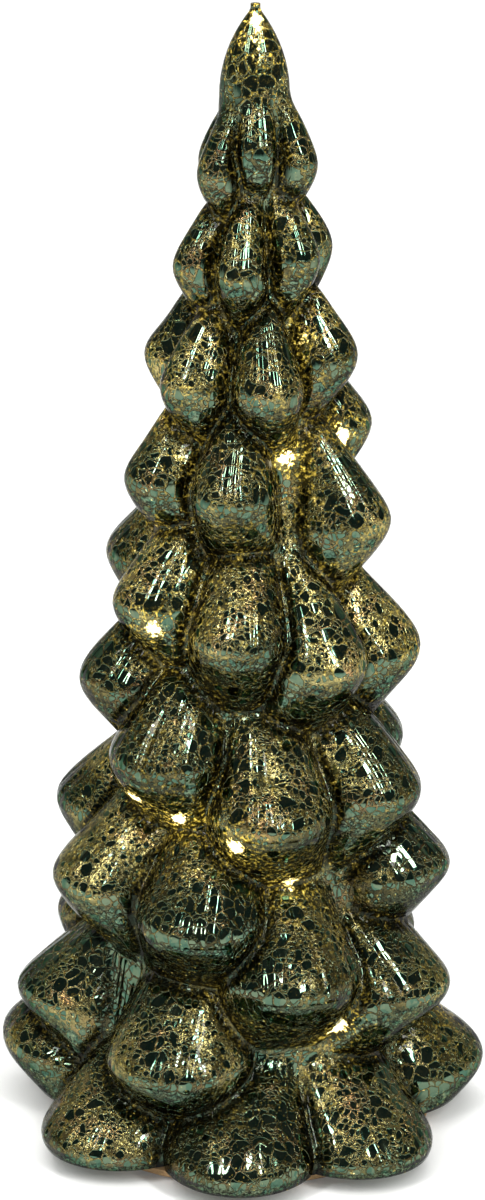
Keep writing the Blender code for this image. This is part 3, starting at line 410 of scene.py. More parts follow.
def mercury_glass(glass):
    """Green glass lined with cracked gold mirror.

    Blown glass, silvered inside, whose lining was burst into droplets with a spray before it was sealed. The bare
    droplets are a dark green mirror, and what is left of the lining between them is a duller gold net.
    """
    made, tree, shader = new_material("mercury_glass", IOR=1.5, Coat_Weight=0.25, Coat_Roughness=0.02, Coat_IOR=1.36,
                                      Specular_Tint=(0.07, 0.10, 0.08, 1.0))
    place = add_node(tree, "TexCoord")["Object"]
    in_mm = add_node(tree, "Mapping", {"Vector": place, "Scale": (1000.0, 1000.0, 1000.0)})[0]
    crease = add_node(tree, "Attribute", attribute_name="crease")["Fac"]
    fold = add_node(tree, "Attribute", attribute_name="fold")["Fac"]
    under = add_node(tree, "Attribute", attribute_name="under")["Fac"]
    spot = add_node(tree, "Attribute", attribute_name="spot")["Fac"]
    halo = add_node(tree, "Attribute", attribute_name="halo")["Fac"]

    # The droplets drift up to 2 mm out of true, over about 6 mm, as the film ran down the glass
    drift = add_node(tree, "TexNoise", {"Vector": in_mm, "Scale": 0.16, "Detail": 2.0})["Color"]
    swing = add_node(tree, "VectorMath", {0: drift, 1: (0.5, 0.5, 0.5)}, operation="SUBTRACT")[0]
    run = add_node(tree, "VectorMath", {0: swing, 1: (3.2, 3.2, 4.4), 2: in_mm}, operation="MULTIPLY_ADD")[0]
    drawn = add_node(tree, "Mapping", {"Vector": run, "Scale": (1.25, 1.25, 0.52)})[0]
    largest = glass.droplet / MILLIMETRE

    height = add_node(tree, "SeparateXYZ", {0: in_mm})["Z"]

    # Regions of about 20 mm where the spray burst more or less of the lining, and most of it at the tip
    region = add_node(tree, "TexNoise", {"Vector": in_mm, "Scale": 0.05, "Detail": 2.0})["Fac"]
    burst = add_node(tree, "MapRange", {"Value": region, "From Min": 0.40, "From Max": 0.62, "To Min": -0.26,
                                        "To Max": 0.50})[0]
    tip = add_node(tree, "MapRange", {"Value": height, "From Min": 215.0, "From Max": 290.0, "To Max": 0.42})[0]
    burst = add_node(tree, "Math", {0: burst, 1: tip}, operation="ADD")[0]
    beneath = add_node(tree, "MapRange", {"Value": under, "From Max": 0.3, "To Max": -0.12})[0]
    burst = add_node(tree, "Math", {0: burst, 1: beneath}, operation="ADD")[0]
    large, past_large, tone = droplets(tree, run, largest, -0.60, 0.85, burst, 0.34)
    middling, past_middling, tint_of = droplets(tree, run, largest * 0.53, -0.05, 0.92, burst, 0.28)
    small = droplets(tree, run, largest * 0.29, 0.10, 0.90, burst, 0.18)[0]
    middling = add_node(tree, "Math", {0: middling, 1: past_large}, operation="MULTIPLY")[0]
    room = add_node(tree, "Math", {0: past_large, 1: past_middling}, operation="MULTIPLY")[0]
    small = add_node(tree, "Math", {0: small, 1: room}, operation="MULTIPLY")[0]
    open_net = add_node(tree, "Math", {0: large, 1: middling}, operation="MAXIMUM")[0]
    open_net = add_node(tree, "Math", {0: open_net, 1: small}, operation="MAXIMUM")[0]
    folds = droplets(tree, drawn, largest * 0.55, 0.10, 0.95, burst, 0.36)[0]
    gone = add_node(tree, "Mix", {0: crease, 2: open_net, 3: folds})[0]

    # Under the lobes little of the lining is left, and what is left is mixed toward a darker colour where faces look
    # down, as painted shade
    below = add_node(tree, "MapRange", {"Value": under, "From Min": 0.02, "From Max": 0.30})[0]
    barer = add_node(tree, "MapRange", {"Value": height, "From Max": 140.0, "To Min": 0.50, "To Max": 0.05})[0]
    bared = add_node(tree, "Math", {0: below, 1: barer}, operation="MULTIPLY")[0]
    gone = add_node(tree, "Math", {0: gone, 1: bared}, operation="MAXIMUM")[0]

    # Colour of the net: olive where thin, gold, and bronze where the lining was burnt, with a 0.5 mm grain
    tint = add_node(tree, "TexNoise", {"Vector": in_mm, "Scale": 0.10, "Detail": 5.0, "Roughness": 0.7})["Fac"]
    ramp = tree.nodes.new("ShaderNodeValToRGB")
    ramp.color_ramp.elements[0].position = 0.34
    ramp.color_ramp.elements[0].color = glass.olive
    ramp.color_ramp.elements[1].position = 0.70
    ramp.color_ramp.elements[1].color = glass.bronze
    middle = ramp.color_ramp.elements.new(0.50)
    middle.color = glass.gold
    tree.links.new(tint, ramp.inputs[0])
    grain = add_node(tree, "TexNoise", {"Vector": in_mm, "Scale": 1.9, "Detail": 2.0})["Fac"]
    grit = add_node(tree, "MapRange", {"Value": grain, "From Min": 0.3, "From Max": 0.7, "To Min": 0.58,
                                       "To Max": 1.46})[0]
    patch = add_node(tree, "TexNoise", {"Vector": in_mm, "Scale": 0.035, "Detail": 3.0})["Fac"]
    shade = add_node(tree, "MapRange", {"Value": patch, "From Min": 0.40, "From Max": 0.60, "To Min": 0.35,
                                        "To Max": 1.15})[0]
    thread = add_node(tree, "MapRange", {"Value": region, "From Min": 0.46, "From Max": 0.62, "To Min": 1.2,
                                         "To Max": 0.60})[0]
    shade = add_node(tree, "Math", {0: shade, 1: thread}, operation="MULTIPLY")[0]
    # The net darker towards the foot of the tree
    darker_towards_foot = add_node(tree, "MapRange", {"Value": height, "From Max": 150.0, "To Min": 0.62, "To Max": 1.0})[0]
    grit_and_shade = add_node(tree, "Math", {0: grit, 1: shade}, operation="MULTIPLY")[0]
    grit_and_shade = add_node(tree, "Math", {0: grit_and_shade, 1: darker_towards_foot}, operation="MULTIPLY")[0]
    # Painted shade: the net darker in the creases between lobes
    painted_crease_shade = add_node(tree, "MapRange", {"Value": crease, "To Min": 1.0, "To Max": 0.72})[0]
    grit_and_shade = add_node(tree, "Math", {0: grit_and_shade, 1: painted_crease_shade}, operation="MULTIPLY")[0]
    # Painted shade: where faces look down, the net is mixed toward the darker underside colour
    dull = add_node(tree, "Math", {0: below, 1: 0.80}, operation="MULTIPLY")[0]
    net = add_node(tree, "Mix", {0: dull, 6: ramp.outputs[0], 7: glass.underside_shade}, data_type="RGBA")[2]
    net = add_node(tree, "VectorMath", {0: net, "Scale": grit_and_shade}, operation="SCALE")[0]

    # Colour of the bare mirror: green or teal from droplet to droplet, and cloudy underneath, in flecks of 1 to 2 mm
    fleck = add_node(tree, "TexNoise", {"Vector": in_mm, "Scale": 0.85, "Detail": 3.0, "Roughness": 0.65})["Fac"]
    pool = add_node(tree, "Math", {0: tone, 1: 0.5, 2: tint_of}, operation="MULTIPLY_ADD")[0]
    deep = add_node(tree, "MapRange", {"Value": pool, "From Min": 0.3, "From Max": 1.2})[0]
    mirror = add_node(tree, "Mix", {0: deep, 6: glass.dark, 7: glass.shade}, data_type="RGBA")[2]
    cloudy = add_node(tree, "Math", {0: fleck, 1: grain}, operation="ADD")[0]
    spots = add_node(tree, "MapRange", {"Value": cloudy, "From Min": 0.85, "From Max": 1.12, "To Min": 0.08,
                                        "To Max": 1.32})[0]
    speckle = add_node(tree, "Mix", {0: below, 2: 1.0, 3: spots})[0]
    mirror = add_node(tree, "VectorMath", {0: mirror, "Scale": speckle}, operation="SCALE")[0]
    face = add_node(tree, "Mix", {0: gone, 6: net, 7: mirror}, data_type="RGBA")[2]

    # A dark line is painted down each flank of a fold as shade where two lobes meet, with a paler one at the bottom of
    # it
    flank = add_node(tree, "MapRange", {"Value": fold, "From Min": 0.20, "From Max": 0.72, "To Max": 0.93},
                     interpolation_type="SMOOTHSTEP")[0]
    bottom = add_node(tree, "MapRange", {"Value": fold, "From Min": 0.88, "From Max": 0.99, "To Min": 1.0,
                                         "To Max": 0.55}, interpolation_type="SMOOTHSTEP")[0]
    painted_fold_shade = add_node(tree, "Math", {0: flank, 1: bottom}, operation="MULTIPLY")[0]
    base = add_node(tree, "Mix", {0: painted_fold_shade, 6: face, 7: linear("#10140c")}, data_type="RGBA")[2]

    metal = add_node(tree, "MapRange", {"Value": gone, "To Min": 0.88, "To Max": 1.0})[0]
    matt = add_node(tree, "MapRange", {"Value": gone, "To Min": 0.16, "To Max": 0.04})[0]
    rough = add_node(tree, "Math", {0: grain, 1: 0.08, 2: matt}, operation="MULTIPLY_ADD")[0]

    # What is left of the lining is crumpled in facets of about 1 mm, which catch the light one by one
    left = add_node(tree, "Math", {0: 1.0, 1: gone}, operation="SUBTRACT")[0]
    facet = add_node(tree, "TexNoise", {"Vector": in_mm, "Scale": 1.1, "Detail": 2.0})["Fac"]
    net_left = add_node(tree, "Math", {0: facet, 1: left}, operation="MULTIPLY")[0]

    # The mould's ripples run down the lobes, 2 mm apart where the tree is 90 mm wide and closer towards the tip. They
    # come and go over the slow waves of blown glass
    flat = add_node(tree, "VectorMath", {0: in_mm, 1: (1.0, 1.0, 0.0)}, operation="MULTIPLY")[0]
    width = add_node(tree, "VectorMath", {0: flat}, operation="LENGTH")["Value"]
    outward = add_node(tree, "VectorMath", {0: flat}, operation="NORMALIZE")[0]
    lift = add_node(tree, "VectorMath", {0: in_mm, 1: (0.0, 0.0, 0.035)}, operation="MULTIPLY")[0]
    ring = add_node(tree, "VectorMath", {0: outward, 1: (RIPPLE_RADIUS, RIPPLE_RADIUS, 0.0), 2: lift},
                    operation="MULTIPLY_ADD")[0]
    rib = add_node(tree, "TexNoise", {"Vector": ring, "Scale": 0.5, "Detail": 0.0})["Fac"]
    ripple = add_node(tree, "Math", {0: rib, 1: width}, operation="MULTIPLY")[0]
    upper = add_node(tree, "MapRange", {"Value": under, "From Max": 0.3, "To Min": 1.0 / RIPPLE_RADIUS,
                                        "To Max": 0.15 / RIPPLE_RADIUS})[0]
    ripple = add_node(tree, "Math", {0: ripple, 1: upper}, operation="MULTIPLY")[0]
    fading = add_node(tree, "MapRange", {"Value": patch, "From Min": 0.40, "From Max": 0.60, "To Min": 1.15,
                                         "To Max": 0.30})[0]
    ripple = add_node(tree, "Math", {0: ripple, 1: fading}, operation="MULTIPLY")[0]
    wave = add_node(tree, "TexNoise", {"Vector": in_mm, "Scale": 0.10, "Detail": 1.0})["Fac"]
    relief = add_node(tree, "Math", {0: wave, 1: 0.5, 2: ripple}, operation="MULTIPLY_ADD")[0]
    pinched = add_node(tree, "Math", {0: fold, 1: -1.3, 2: relief}, operation="MULTIPLY_ADD")[0]
    lining = add_node(tree, "Math", {0: gone, 1: -0.12, 2: pinched}, operation="MULTIPLY_ADD")[0]
    crumpled = add_node(tree, "Math", {0: net_left, 1: 0.40, 2: lining}, operation="MULTIPLY_ADD")[0]
    bump = add_node(tree, "Bump", {"Height": crumpled, "Strength": 1.0, "Distance": glass.ripple * NOISE_GAIN})[0]
    smooth = add_node(tree, "Bump", {"Height": pinched, "Strength": 1.0, "Distance": glass.ripple * NOISE_GAIN})[0]

    # The lining lets light through in the same flecks: brightest round each LED and in the folds by it, and
    # faint all over the tree, where there is more of it towards the narrow top
    thin = add_node(tree, "MapRange", {"Value": fleck, "From Min": 0.52, "From Max": 0.68, "To Min": 0.12,
                                       "To Max": 5.0})[0]
    haze = add_node(tree, "MapRange", {"Value": height, "From Min": 60.0, "From Max": 240.0,
                                       "To Min": glass.haze * 0.55, "To Max": glass.haze * 2.3})[0]
    haze = add_node(tree, "Math", {0: haze, 1: shade}, operation="MULTIPLY")[0]
    seams = add_node(tree, "Math", {0: crease, 1: 0.2, 2: 1.0}, operation="MULTIPLY_ADD")[0]
    around = add_node(tree, "Math", {0: halo, 1: seams, 2: haze}, operation="MULTIPLY_ADD")[0]
    through = add_node(tree, "MapRange", {"Value": gone, "To Min": 1.0, "To Max": 0.06})[0]
    flecked = add_node(tree, "Math", {0: thin, 1: through}, operation="MULTIPLY")[0]
    veins = add_node(tree, "Math", {0: flecked, 1: around}, operation="MULTIPLY")[0]

    # Right at an LED the light floods net and droplets alike, with a ragged edge
    ragged = add_node(tree, "Math", {0: fleck, 1: 2.0, 2: spot}, operation="MULTIPLY_ADD")[0]
    flood = add_node(tree, "MapRange", {"Value": ragged, "From Min": 1.32, "From Max": 1.85},
                     interpolation_type="SMOOTHSTEP")[0]
    lit = add_node(tree, "Math", {0: flood, 1: 6.0, 2: veins}, operation="MULTIPLY_ADD")[0]
    strength = add_node(tree, "Math", {0: lit, 1: glass.glow}, operation="MULTIPLY")[0]
    light = add_node(tree, "Mix", {0: flood, 6: glass.warm, 7: glass.hot}, data_type="RGBA")[2]
    link(tree, shader, Base_Color=base, Metallic=metal, Roughness=rough, Normal=bump, Coat_Normal=smooth,
         Emission_Color=light, Emission_Strength=strength)
    return made


class TREE_OT_blow_glass(bpy.types.Operator):
    """Blows the lobed mercury-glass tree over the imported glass"""
    bl_idname = "tree.blow_glass"
    bl_label = "Blow the glass tree"

    def execute(self, context):
        glass = context.scene.tree_glass
        body = [GLASS_FOOT + (DOME_START - GLASS_FOOT) * row / glass.rows for row in range(glass.rows + 1)]
        dome = [DOME_START + DOME_HEIGHT * math.sin(math.pi / 2 * row / glass.dome_rows)
                for row in range(1, glass.dome_rows)]
        shape = bmesh.new()
        points = [shape.verts.new((FOOT_OPENING_RADIUS, 0.0, GLASS_FOOT))]
        points += [shape.verts.new((TRUNK_FOOT_RADIUS, 0.0, height)) for height in body + dome]
        points.append(shape.verts.new((0.0, 0.0, TREE_TOP)))
        edges = [shape.edges.new(pair) for pair in zip(points, points[1:])]
        bmesh.ops.spin(shape, geom=points + edges, cent=(0, 0, 0), axis=(0, 0, 1), angle=2 * math.pi,
                       steps=glass.columns, use_merge=True)
        bmesh.ops.remove_doubles(shape, verts=shape.verts, dist=WELD_DISTANCE)
        folds = shape.verts.layers.float.new("crease")
        lines = shape.verts.layers.float.new("fold")
        spots = shape.verts.layers.float.new("spot")
        halos = shape.verts.layers.float.new("halo")
        lows = shape.verts.layers.float.new("under")
        inner = FOOT_OPENING_RADIUS + (TRUNK_FOOT_RADIUS - FOOT_OPENING_RADIUS) / 2
        blown = [vert for vert in shape.verts if math.hypot(vert.co.x, vert.co.y) > inner]
        turns = np.array([math.atan2(vert.co.x, -vert.co.y) for vert in blown])
        heights = np.array([vert.co.z for vert in blown])
        radii, creases = blow(turns, heights)
        for vert, turn, radius in zip(blown, turns, radii + dents(turns, heights, radii)):
            vert.co.x = radius * math.sin(turn)
            vert.co.y = -radius * math.cos(turn)
        for vert, crease, line in zip(blown, creases, fold_lines(turns, heights, radii)):
            vert[folds] = crease
            vert[lines] = line
        bmesh.ops.recalc_face_normals(shape, faces=shape.faces)
        shape.normal_update()
        for vert, spot, halo in zip(shape.verts, *lamp_light(shape.verts)):
            vert[spots] = spot
            vert[halos] = halo
            vert[lows] = min(max(-UNDER_GAIN * vert.normal.z - UNDER_START, 0.0), 1.0)
        made = mesh_object("glass_shell", shape)
        wall = made.modifiers.new("wall", "SOLIDIFY")
        wall.thickness = glass.wall
        wall.offset = -1.0
        made.data.materials.append(mercury_glass(glass))
        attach(made, "tree")
        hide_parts("glass_tree")
        return {"FINISHED"}


def rounded_corner(along, radius, size, start):
    """The points of a quarter round about a centre, from an angle in quarter turns to the next one."""
    turns = [math.pi / 2 * (start + step / ROUND_STEPS) for step in range(ROUND_STEPS + 1)]
    return [(along + size * math.cos(turn), radius + size * math.sin(turn)) for turn in turns]


class TREE_OT_turn_cells(bpy.types.Operator):
    """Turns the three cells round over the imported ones, each with its nub at the end away from its spring"""
    bl_idname = "tree.turn_cells"
    bl_label = "Turn the cells"

    def execute(self, context):
        for number in range(1, CELL_COUNT + 1):
            low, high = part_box(f"cell_{number}")
            centre = [(first + second) / 2 for first, second in zip(low, high)]
            facing = math.copysign(1.0, centre[0])
            half = (high[0] - low[0]) / 2
            shoulder = half - CELL_NUB_LENGTH
            rim = CELL_RADIUS - CELL_EDGE_ROUND
            outline = [(half, 0.0), (half, CELL_NUB_RADIUS - CELL_NUB_ROUND * 2)]
            outline += rounded_corner(half - CELL_NUB_ROUND, CELL_NUB_RADIUS - CELL_NUB_ROUND, CELL_NUB_ROUND, 0)
            outline += [(shoulder, CELL_NUB_RADIUS), (shoulder, rim - CELL_EDGE_ROUND)]
            outline += rounded_corner(shoulder - CELL_EDGE_ROUND, rim, CELL_EDGE_ROUND, 0)
            outline += [(shoulder - CELL_EDGE_ROUND * 2, CELL_RADIUS), (CELL_EDGE_ROUND * 2 - half, CELL_RADIUS)]
            outline += rounded_corner(CELL_EDGE_ROUND - half, rim, CELL_EDGE_ROUND, 1)
            outline += [(-half, rim - CELL_EDGE_ROUND), (-half, 0.0)]
            shape = bmesh.new()
            points = [shape.verts.new((centre[0] + facing * along, centre[1] + radius, centre[2]))
                      for along, radius in outline]
            edges = [shape.edges.new(pair) for pair in zip(points, points[1:])]
            bmesh.ops.spin(shape, geom=points + edges, cent=centre, axis=(1, 0, 0), angle=2 * math.pi,
                           steps=CELL_STEPS, use_merge=True)
            bmesh.ops.remove_doubles(shape, verts=shape.verts, dist=WELD_DISTANCE)
            bmesh.ops.recalc_face_normals(shape, faces=shape.faces)
            made = mesh_object(f"cell_can_{number}", shape)
            made.data.materials.append(cell_jacket(f"cell_jacket_{number}", context.scene.tree_foot.jacket,
                                                   centre[0], facing))
            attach(made, "tree")
            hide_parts(f"cell_{number}")
        return {"FINISHED"}


def finish_nodes(names, material):
    """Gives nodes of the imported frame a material."""
    for name in names:
        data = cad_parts[name].data
        data.materials.clear()
        data.materials.append(material)


def fibreboard(code):
    """Bare fibreboard: pressed wood fibre, sawn and left rough, with pale and dark fibres some 0.2 by 0.6 mm."""
    made, tree, shader = new_material("fibreboard", Specular_IOR_Level=0.3)
    place = add_node(tree, "TexCoord")["Object"]
    fibres = add_node(tree, "Mapping", {"Vector": place, "Scale": (1700.0, 1700.0, 5200.0)})[0]
    fleck = add_node(tree, "TexNoise", {"Vector": fibres, "Scale": 1.0, "Detail": 5.0, "Roughness": 0.7})["Fac"]
    base = varied(tree, code, fleck, (0.3, 0.7), (0.72, 1.2))
    rough = add_node(tree, "MapRange", {"Value": fleck, "To Min": 0.70, "To Max": 0.95})[0]
    bump = add_node(tree, "Bump", {"Height": fleck, "Distance": 0.0002})[0]
    link(tree, shader, Base_Color=base, Roughness=rough, Normal=bump)
    return made


def felt(code):
    """Pressed felt: a dull mat of loose fibres with a soft sheen at its edge."""
    made, tree, shader = new_material("felt", Sheen_Weight=0.5, Sheen_Roughness=0.5, Specular_IOR_Level=0.2)
    place = add_node(tree, "TexCoord")["Object"]
    mat = add_node(tree, "TexNoise", {"Vector": place, "Scale": 2200.0, "Detail": 4.0, "Roughness": 0.8,
                                      "Distortion": 1.5})["Fac"]
    base = varied(tree, code, mat, (0.3, 0.7), (0.55, 1.4))
    rough = add_node(tree, "MapRange", {"Value": mat, "To Min": 0.90, "To Max": 1.0})[0]
    bump = add_node(tree, "Bump", {"Height": mat, "Distance": 0.0003})[0]
    link(tree, shader, Base_Color=base, Roughness=rough, Normal=bump)
    return made


def moulded_plastic(name, code, grain_mm, low, high):
    """Injection-moulded plastic: a spark-eroded grain, with slow flow marks in its gloss."""
    made, tree, shader = new_material(name, IOR=1.54)
    place = add_node(tree, "TexCoord")["Object"]
    pits = add_node(tree, "TexVoronoi", {"Vector": place, "Scale": 1.0 / (grain_mm * MILLIMETRE)},
                    feature="SMOOTH_F1")["Distance"]
    flow = add_node(tree, "TexNoise", {"Vector": place, "Scale": 120.0, "Detail": 3.0})["Fac"]
    base = varied(tree, code, flow, (0.3, 0.7), (0.88, 1.12))
    rough = add_node(tree, "MapRange", {"Value": flow, "From Min": 0.3, "From Max": 0.7, "To Min": low,
                                        "To Max": high})[0]
    bump = add_node(tree, "Bump", {"Height": pits, "Distance": 0.00004})[0]
    link(tree, shader, Base_Color=base, Roughness=rough, Normal=bump)
    return made


def plated_metal(name, code, low, high):
    """Plated or lacquered metal: bright, with fine drawing lines along it and faint spots of tarnish."""
    made, tree, shader = new_material(name, Metallic=1.0)
    place = add_node(tree, "TexCoord")["Object"]
    lines = add_node(tree, "Mapping", {"Vector": place, "Scale": (300.0, 4000.0, 4000.0)})[0]
    drawn = add_node(tree, "TexNoise", {"Vector": lines, "Scale": 1.0, "Detail": 3.0})["Fac"]
    spots = add_node(tree, "TexNoise", {"Vector": place, "Scale": 700.0, "Detail": 4.0})["Fac"]
    base = varied(tree, linear(code), spots, (0.35, 0.65), (0.80, 1.05))
    rough = add_node(tree, "MapRange", {"Value": drawn, "From Min": 0.3, "From Max": 0.7, "To Min": low,
                                        "To Max": high})[0]
    bump = add_node(tree, "Bump", {"Height": drawn, "Distance": 0.00002})[0]
    link(tree, shader, Base_Color=base, Roughness=rough, Normal=bump)
    return made


def cell_jacket(name, code, middle, facing):
    """A cell in a shrunk film jacket: satin film, a silver band towards its nub and bare steel at both ends."""
    made, tree, shader = new_material(name, IOR=1.5)
    place = add_node(tree, "TexCoord")["Object"]
    centred = add_node(tree, "Mapping", {"Vector": place, "Location": (-middle * facing, 0.0, 0.0),
                                         "Scale": (facing, 1.0, 1.0)})[0]
    along = add_node(tree, "SeparateXYZ", {0: centred})["X"]
    far = add_node(tree, "Math", {0: along}, operation="ABSOLUTE")[0]
    steel = add_node(tree, "Math", {0: far, 1: STEEL_START}, operation="GREATER_THAN")[0]
    band = add_node(tree, "Math", {0: along, 1: BAND_START}, operation="GREATER_THAN")[0]
    creases = add_node(tree, "TexNoise", {"Vector": place, "Scale": 600.0, "Detail": 3.0})["Fac"]
    film = add_node(tree, "Mix", {0: band, 6: tuple(code), 7: linear("#b4b8bd")}, data_type="RGBA")[2]
    base = add_node(tree, "Mix", {0: steel, 6: film, 7: linear("#b9b9b4")}, data_type="RGBA")[2]
    rough = add_node(tree, "MapRange", {"Value": creases, "To Min": 0.22, "To Max": 0.42})[0]
    bump = add_node(tree, "Bump", {"Height": creases, "Distance": 0.00003})[0]
    link(tree, shader, Base_Color=base, Metallic=steel, Roughness=rough, Normal=bump)
    return made


def circuit_board(code):
    """Glass-fibre board under green solder mask: copper tracks show through as paler lines over a fine weave."""
    made, tree, shader = new_material("board_green", IOR=1.5, Coat_Weight=0.4, Coat_Roughness=0.15)
    place = add_node(tree, "TexCoord")["Object"]
    laid = add_node(tree, "Mapping", {"Vector": place, "Scale": (330.0, 330.0, 330.0)})[0]
    tracks = add_node(tree, "TexBrick", {"Vector": laid, "Mortar Size": 0.09, "Scale": 1.0})["Fac"]
    weave = add_node(tree, "TexChecker", {"Vector": place, "Scale": 2400.0})["Fac"]
    cloth = varied(tree, code, weave, (0.0, 1.0), (0.9, 1.1))
    base = add_node(tree, "Mix", {0: tracks, 6: cloth, 7: linear("#3f9a5e")}, data_type="RGBA")[2]
    rough = add_node(tree, "MapRange", {"Value": tracks, "To Min": 0.42, "To Max": 0.28})[0]
    bump = add_node(tree, "Bump", {"Height": tracks, "Distance": 0.00004})[0]
    link(tree, shader, Base_Color=base, Roughness=rough, Normal=bump)
    return made


def clear_resin(name, code, rough_low, emission):
    """Cured clear resin: glossy, a little cloudy, with small bubbles; lit from inside where it holds an LED."""
    made, tree, shader = new_material(name, IOR=1.5, Transmission_Weight=0.5, Emission_Color=linear("#ffdf9a"),
                                      Emission_Strength=emission)
    place = add_node(tree, "TexCoord")["Object"]
    cloud = add_node(tree, "TexNoise", {"Vector": place, "Scale": 500.0, "Detail": 3.0})["Fac"]
    bubbles = add_node(tree, "TexVoronoi", {"Vector": place, "Scale": 900.0})["Distance"]
    base = varied(tree, linear(code), cloud, (0.3, 0.7), (0.85, 1.05))
    rough = add_node(tree, "MapRange", {"Value": cloud, "To Min": rough_low, "To Max": rough_low + 0.15})[0]
    bump = add_node(tree, "Bump", {"Height": bubbles, "Distance": 0.00005})[0]
    link(tree, shader, Base_Color=base, Roughness=rough, Normal=bump)
    return made


class TREE_OT_finish_lights(bpy.types.Operator):
    """Finishes the light string and its LEDs"""
    bl_idname = "tree.finish_lights"
    bl_label = "Finish the lights"

    def execute(self, context):
        finish_nodes(["light_wire"], plated_metal("lacquered_copper", "#c98a5a", 0.18, 0.34))
        finish_nodes([f"led_{number:02d}" for number in range(1, LED_COUNT + 1)],
                     clear_resin("led_resin", "#f6ecc8", 0.06, 12.0))
        return {"FINISHED"}


class TREE_OT_finish_foot(bpy.types.Operator):
    """Finishes the base disc, its pads, the adhesive and the case with its door, cover and screws"""
    bl_idname = "tree.finish_foot"
    bl_label = "Finish the foot"

    def execute(self, context):
        foot = context.scene.tree_foot
        finish_nodes(["base_disc"], fibreboard(foot.fibreboard))
        finish_nodes([f"foot_pad_{number}" for number in range(1, 5)], felt(foot.felt))
        finish_nodes(["glue_ring"], clear_resin("clear_adhesive", "#efece0", 0.25, 0.0))
        finish_nodes(["battery_case", "battery_door", "board_cover"],
                     moulded_plastic("black_abs", foot.case, 0.45, 0.34, 0.50))
        finish_nodes([f"case_screw_{number}" for number in range(1, 5)],
                     plated_metal("zinc_plated_steel", "#b9b8ae", 0.22, 0.40))
        return {"FINISHED"}


class TREE_OT_finish_electrics(bpy.types.Operator):
    """Finishes the contacts, switch, board and leads"""
    bl_idname = "tree.finish_electrics"
    bl_label = "Finish the electrics"

    def execute(self, context):
        foot = context.scene.tree_foot
        finish_nodes(["contact_spring_1", "contact_spring_2", "contact_spring_3", "link_plate_1", "link_plate_2",
                      "contact_positive", "contact_negative", "switch_frame", "crystal"],
                     plated_metal("nickel_plated_steel", "#c8c6c0", 0.16, 0.32))
        finish_nodes(["switch_knob"], moulded_plastic("white_acetal", foot.knob, 0.30, 0.30, 0.42))
        finish_nodes(["circuit_board"], circuit_board(foot.board))
        finish_nodes(["timer_chip"], moulded_plastic("potting_epoxy", linear("#151516"), 0.80, 0.12, 0.25))
        finish_nodes(["resistor"], moulded_plastic("lacquered_ceramic", linear("#c9a873"), 0.35, 0.40, 0.60))
        finish_nodes(["lead_positive"], moulded_plastic("red_pvc", linear("#a31f1c"), 0.25, 0.32, 0.48))
        finish_nodes(["lead_negative"], moulded_plastic("black_pvc", linear("#1c1c1d"), 0.25, 0.32, 0.48))
        return {"FINISHED"}


def studio_ground(code):
    """Seamless paper: matt and pale, with a faint tooth. It shows a little whiter than its lamps make it."""
    made, tree, shader = new_material("studio_paper", Specular_IOR_Level=0.1, Roughness=0.9,
                                      Emission_Color=(1.0, 1.0, 1.0, 1.0))
    ray = add_node(tree, "LightPath")
    seen = add_node(tree, "Math", {0: ray["Is Camera Ray"], 1: ray["Is Glossy Ray"]}, operation="MAXIMUM")[0]
    seen = add_node(tree, "Math", {0: seen, 1: ray["Is Transmission Ray"]}, operation="MAXIMUM")[0]
    lift = add_node(tree, "Math", {0: seen, 1: GROUND_LIFT}, operation="MULTIPLY")[0]
    place = add_node(tree, "TexCoord")["Object"]
    tooth = add_node(tree, "TexNoise", {"Vector": place, "Scale": 400.0, "Detail": 2.0})["Fac"]
    base = varied(tree, code, tooth, (0.0, 1.0), (0.985, 1.0))
    link(tree, shader, Base_Color=base, Emission_Strength=lift)
    return made


def add_lamp(name, place, size, power, shown=True):
    """An area lamp that looks at the middle of the tree."""
    data = bpy.data.lights.new(name, "AREA")
    data.shape = "RECTANGLE"
    data.size = size[0]
    data.size_y = size[1]
    data.energy = power
    made = bpy.data.objects.new(name, data)
    bpy.context.scene.collection.objects.link(made)
    aim = Vector((0.0, 0.0, TREE_TOP / 2)) - Vector(place)
    made.matrix_world = Matrix.Translation(place) @ aim.to_track_quat("-Z", "Y").to_matrix().to_4x4()
    made.visible_glossy = shown
    return made


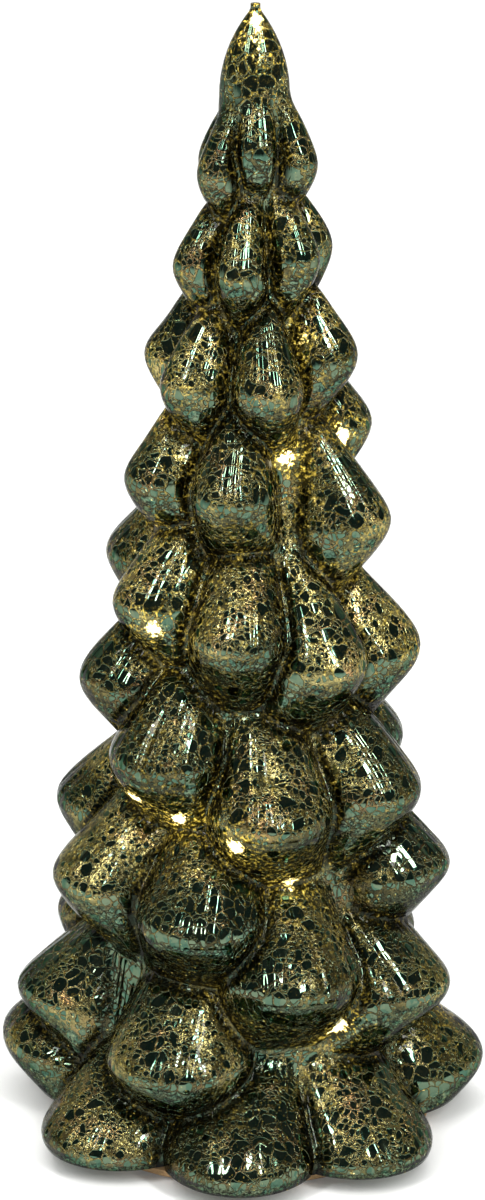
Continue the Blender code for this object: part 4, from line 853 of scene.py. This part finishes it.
class TREE_OT_set_stage(bpy.types.Operator):
    """Sets the pale floor and wall, the lamps, the room and the camera"""
    bl_idname = "tree.set_stage"
    bl_label = "Set the stage"

    def execute(self, context):
        studio = context.scene.tree_studio
        shape = bmesh.new()
        outline = [(FLOOR_FRONT, 0.0)]
        for step in range(SWEEP_STEPS + 1):
            bend = math.pi / 2 * step / SWEEP_STEPS
            outline.append((WALL_PLACE - SWEEP_RADIUS + SWEEP_RADIUS * math.sin(bend),
                            SWEEP_RADIUS * (1 - math.cos(bend))))
        outline.append((WALL_PLACE, WALL_HEIGHT))
        points = [shape.verts.new((-FLOOR_HALF_WIDTH, along, height)) for along, height in outline]
        edges = [shape.edges.new(pair) for pair in zip(points, points[1:])]
        moved = bmesh.ops.extrude_edge_only(shape, edges=edges)["geom"]
        bmesh.ops.translate(shape, vec=(2 * FLOOR_HALF_WIDTH, 0.0, 0.0),
                            verts=[item for item in moved if isinstance(item, bmesh.types.BMVert)])
        ground = mesh_object("studio_sweep", shape)
        ground.data.materials.append(studio_ground(studio.ground))

        add_lamp("top_soft_light", (0.0, -0.35, 2.4), (2.2, 2.2), studio.top_power, shown=False)
        for name, place, size, share in STRIPS:
            add_lamp(name, place, size, studio.strip_power * share)

        world = bpy.data.worlds.new("studio_room")
        world.use_nodes = True
        world.node_tree.nodes["Background"].inputs["Color"].default_value = tuple(studio.sky)
        world.node_tree.nodes["Background"].inputs["Strength"].default_value = studio.sky_strength
        context.scene.world = world

        data = bpy.data.cameras.new("photo_camera")
        data.sensor_fit = "VERTICAL"
        data.sensor_height = SENSOR_HEIGHT
        data.lens = CAMERA_LENS
        data.shift_x, data.shift_y = CAMERA_SHIFT
        camera = bpy.data.objects.new("photo_camera", data)
        context.scene.collection.objects.link(camera)
        pitch = Matrix.Rotation(math.radians(CAMERA_PITCH), 4, "X")
        roll = Matrix.Rotation(math.radians(CAMERA_ROLL), 4, "Z")
        camera.matrix_world = Matrix.Translation(CAMERA_PLACE) @ pitch @ roll
        context.scene.camera = camera
        context.scene.view_settings.view_transform = "Standard"
        return {"FINISHED"}


class TREE_PT_pieces(bpy.types.Panel):
    """The pieces of the tree, in the order in which they are made"""
    bl_idname = "TREE_PT_pieces"
    bl_label = "LED Christmas tree"
    bl_space_type = "VIEW_3D"
    bl_region_type = "UI"
    bl_category = "LED tree"

    def draw(self, context):
        for group in (context.scene.tree_glass, context.scene.tree_foot, context.scene.tree_studio):
            box = self.layout.box()
            for name in group.__annotations__:
                box.prop(group, name)
        for operator in OPERATORS:
            self.layout.operator(operator.bl_idname)


OPERATORS = (TREE_OT_blow_glass, TREE_OT_turn_cells, TREE_OT_finish_lights, TREE_OT_finish_foot,
             TREE_OT_finish_electrics, TREE_OT_set_stage)
CLASSES = (GlassSettings, FootSettings, StudioSettings, *OPERATORS, TREE_PT_pieces)


def register():
    """Registers the classes and hangs the settings on the scene."""
    for item in CLASSES:
        bpy.utils.register_class(item)
    bpy.types.Scene.tree_glass = PointerProperty(type=GlassSettings)
    bpy.types.Scene.tree_foot = PointerProperty(type=FootSettings)
    bpy.types.Scene.tree_studio = PointerProperty(type=StudioSettings)


def unregister():
    """Takes the settings and the classes away again."""
    del bpy.types.Scene.tree_glass
    del bpy.types.Scene.tree_foot
    del bpy.types.Scene.tree_studio
    for item in reversed(CLASSES):
        bpy.utils.unregister_class(item)


def main():
    """Makes the pieces in order."""
    register()
    bpy.ops.tree.set_stage()
    bpy.ops.tree.blow_glass()
    bpy.ops.tree.turn_cells()
    bpy.ops.tree.finish_lights()
    bpy.ops.tree.finish_foot()
    bpy.ops.tree.finish_electrics()


if __name__ == "__main__":
    main()
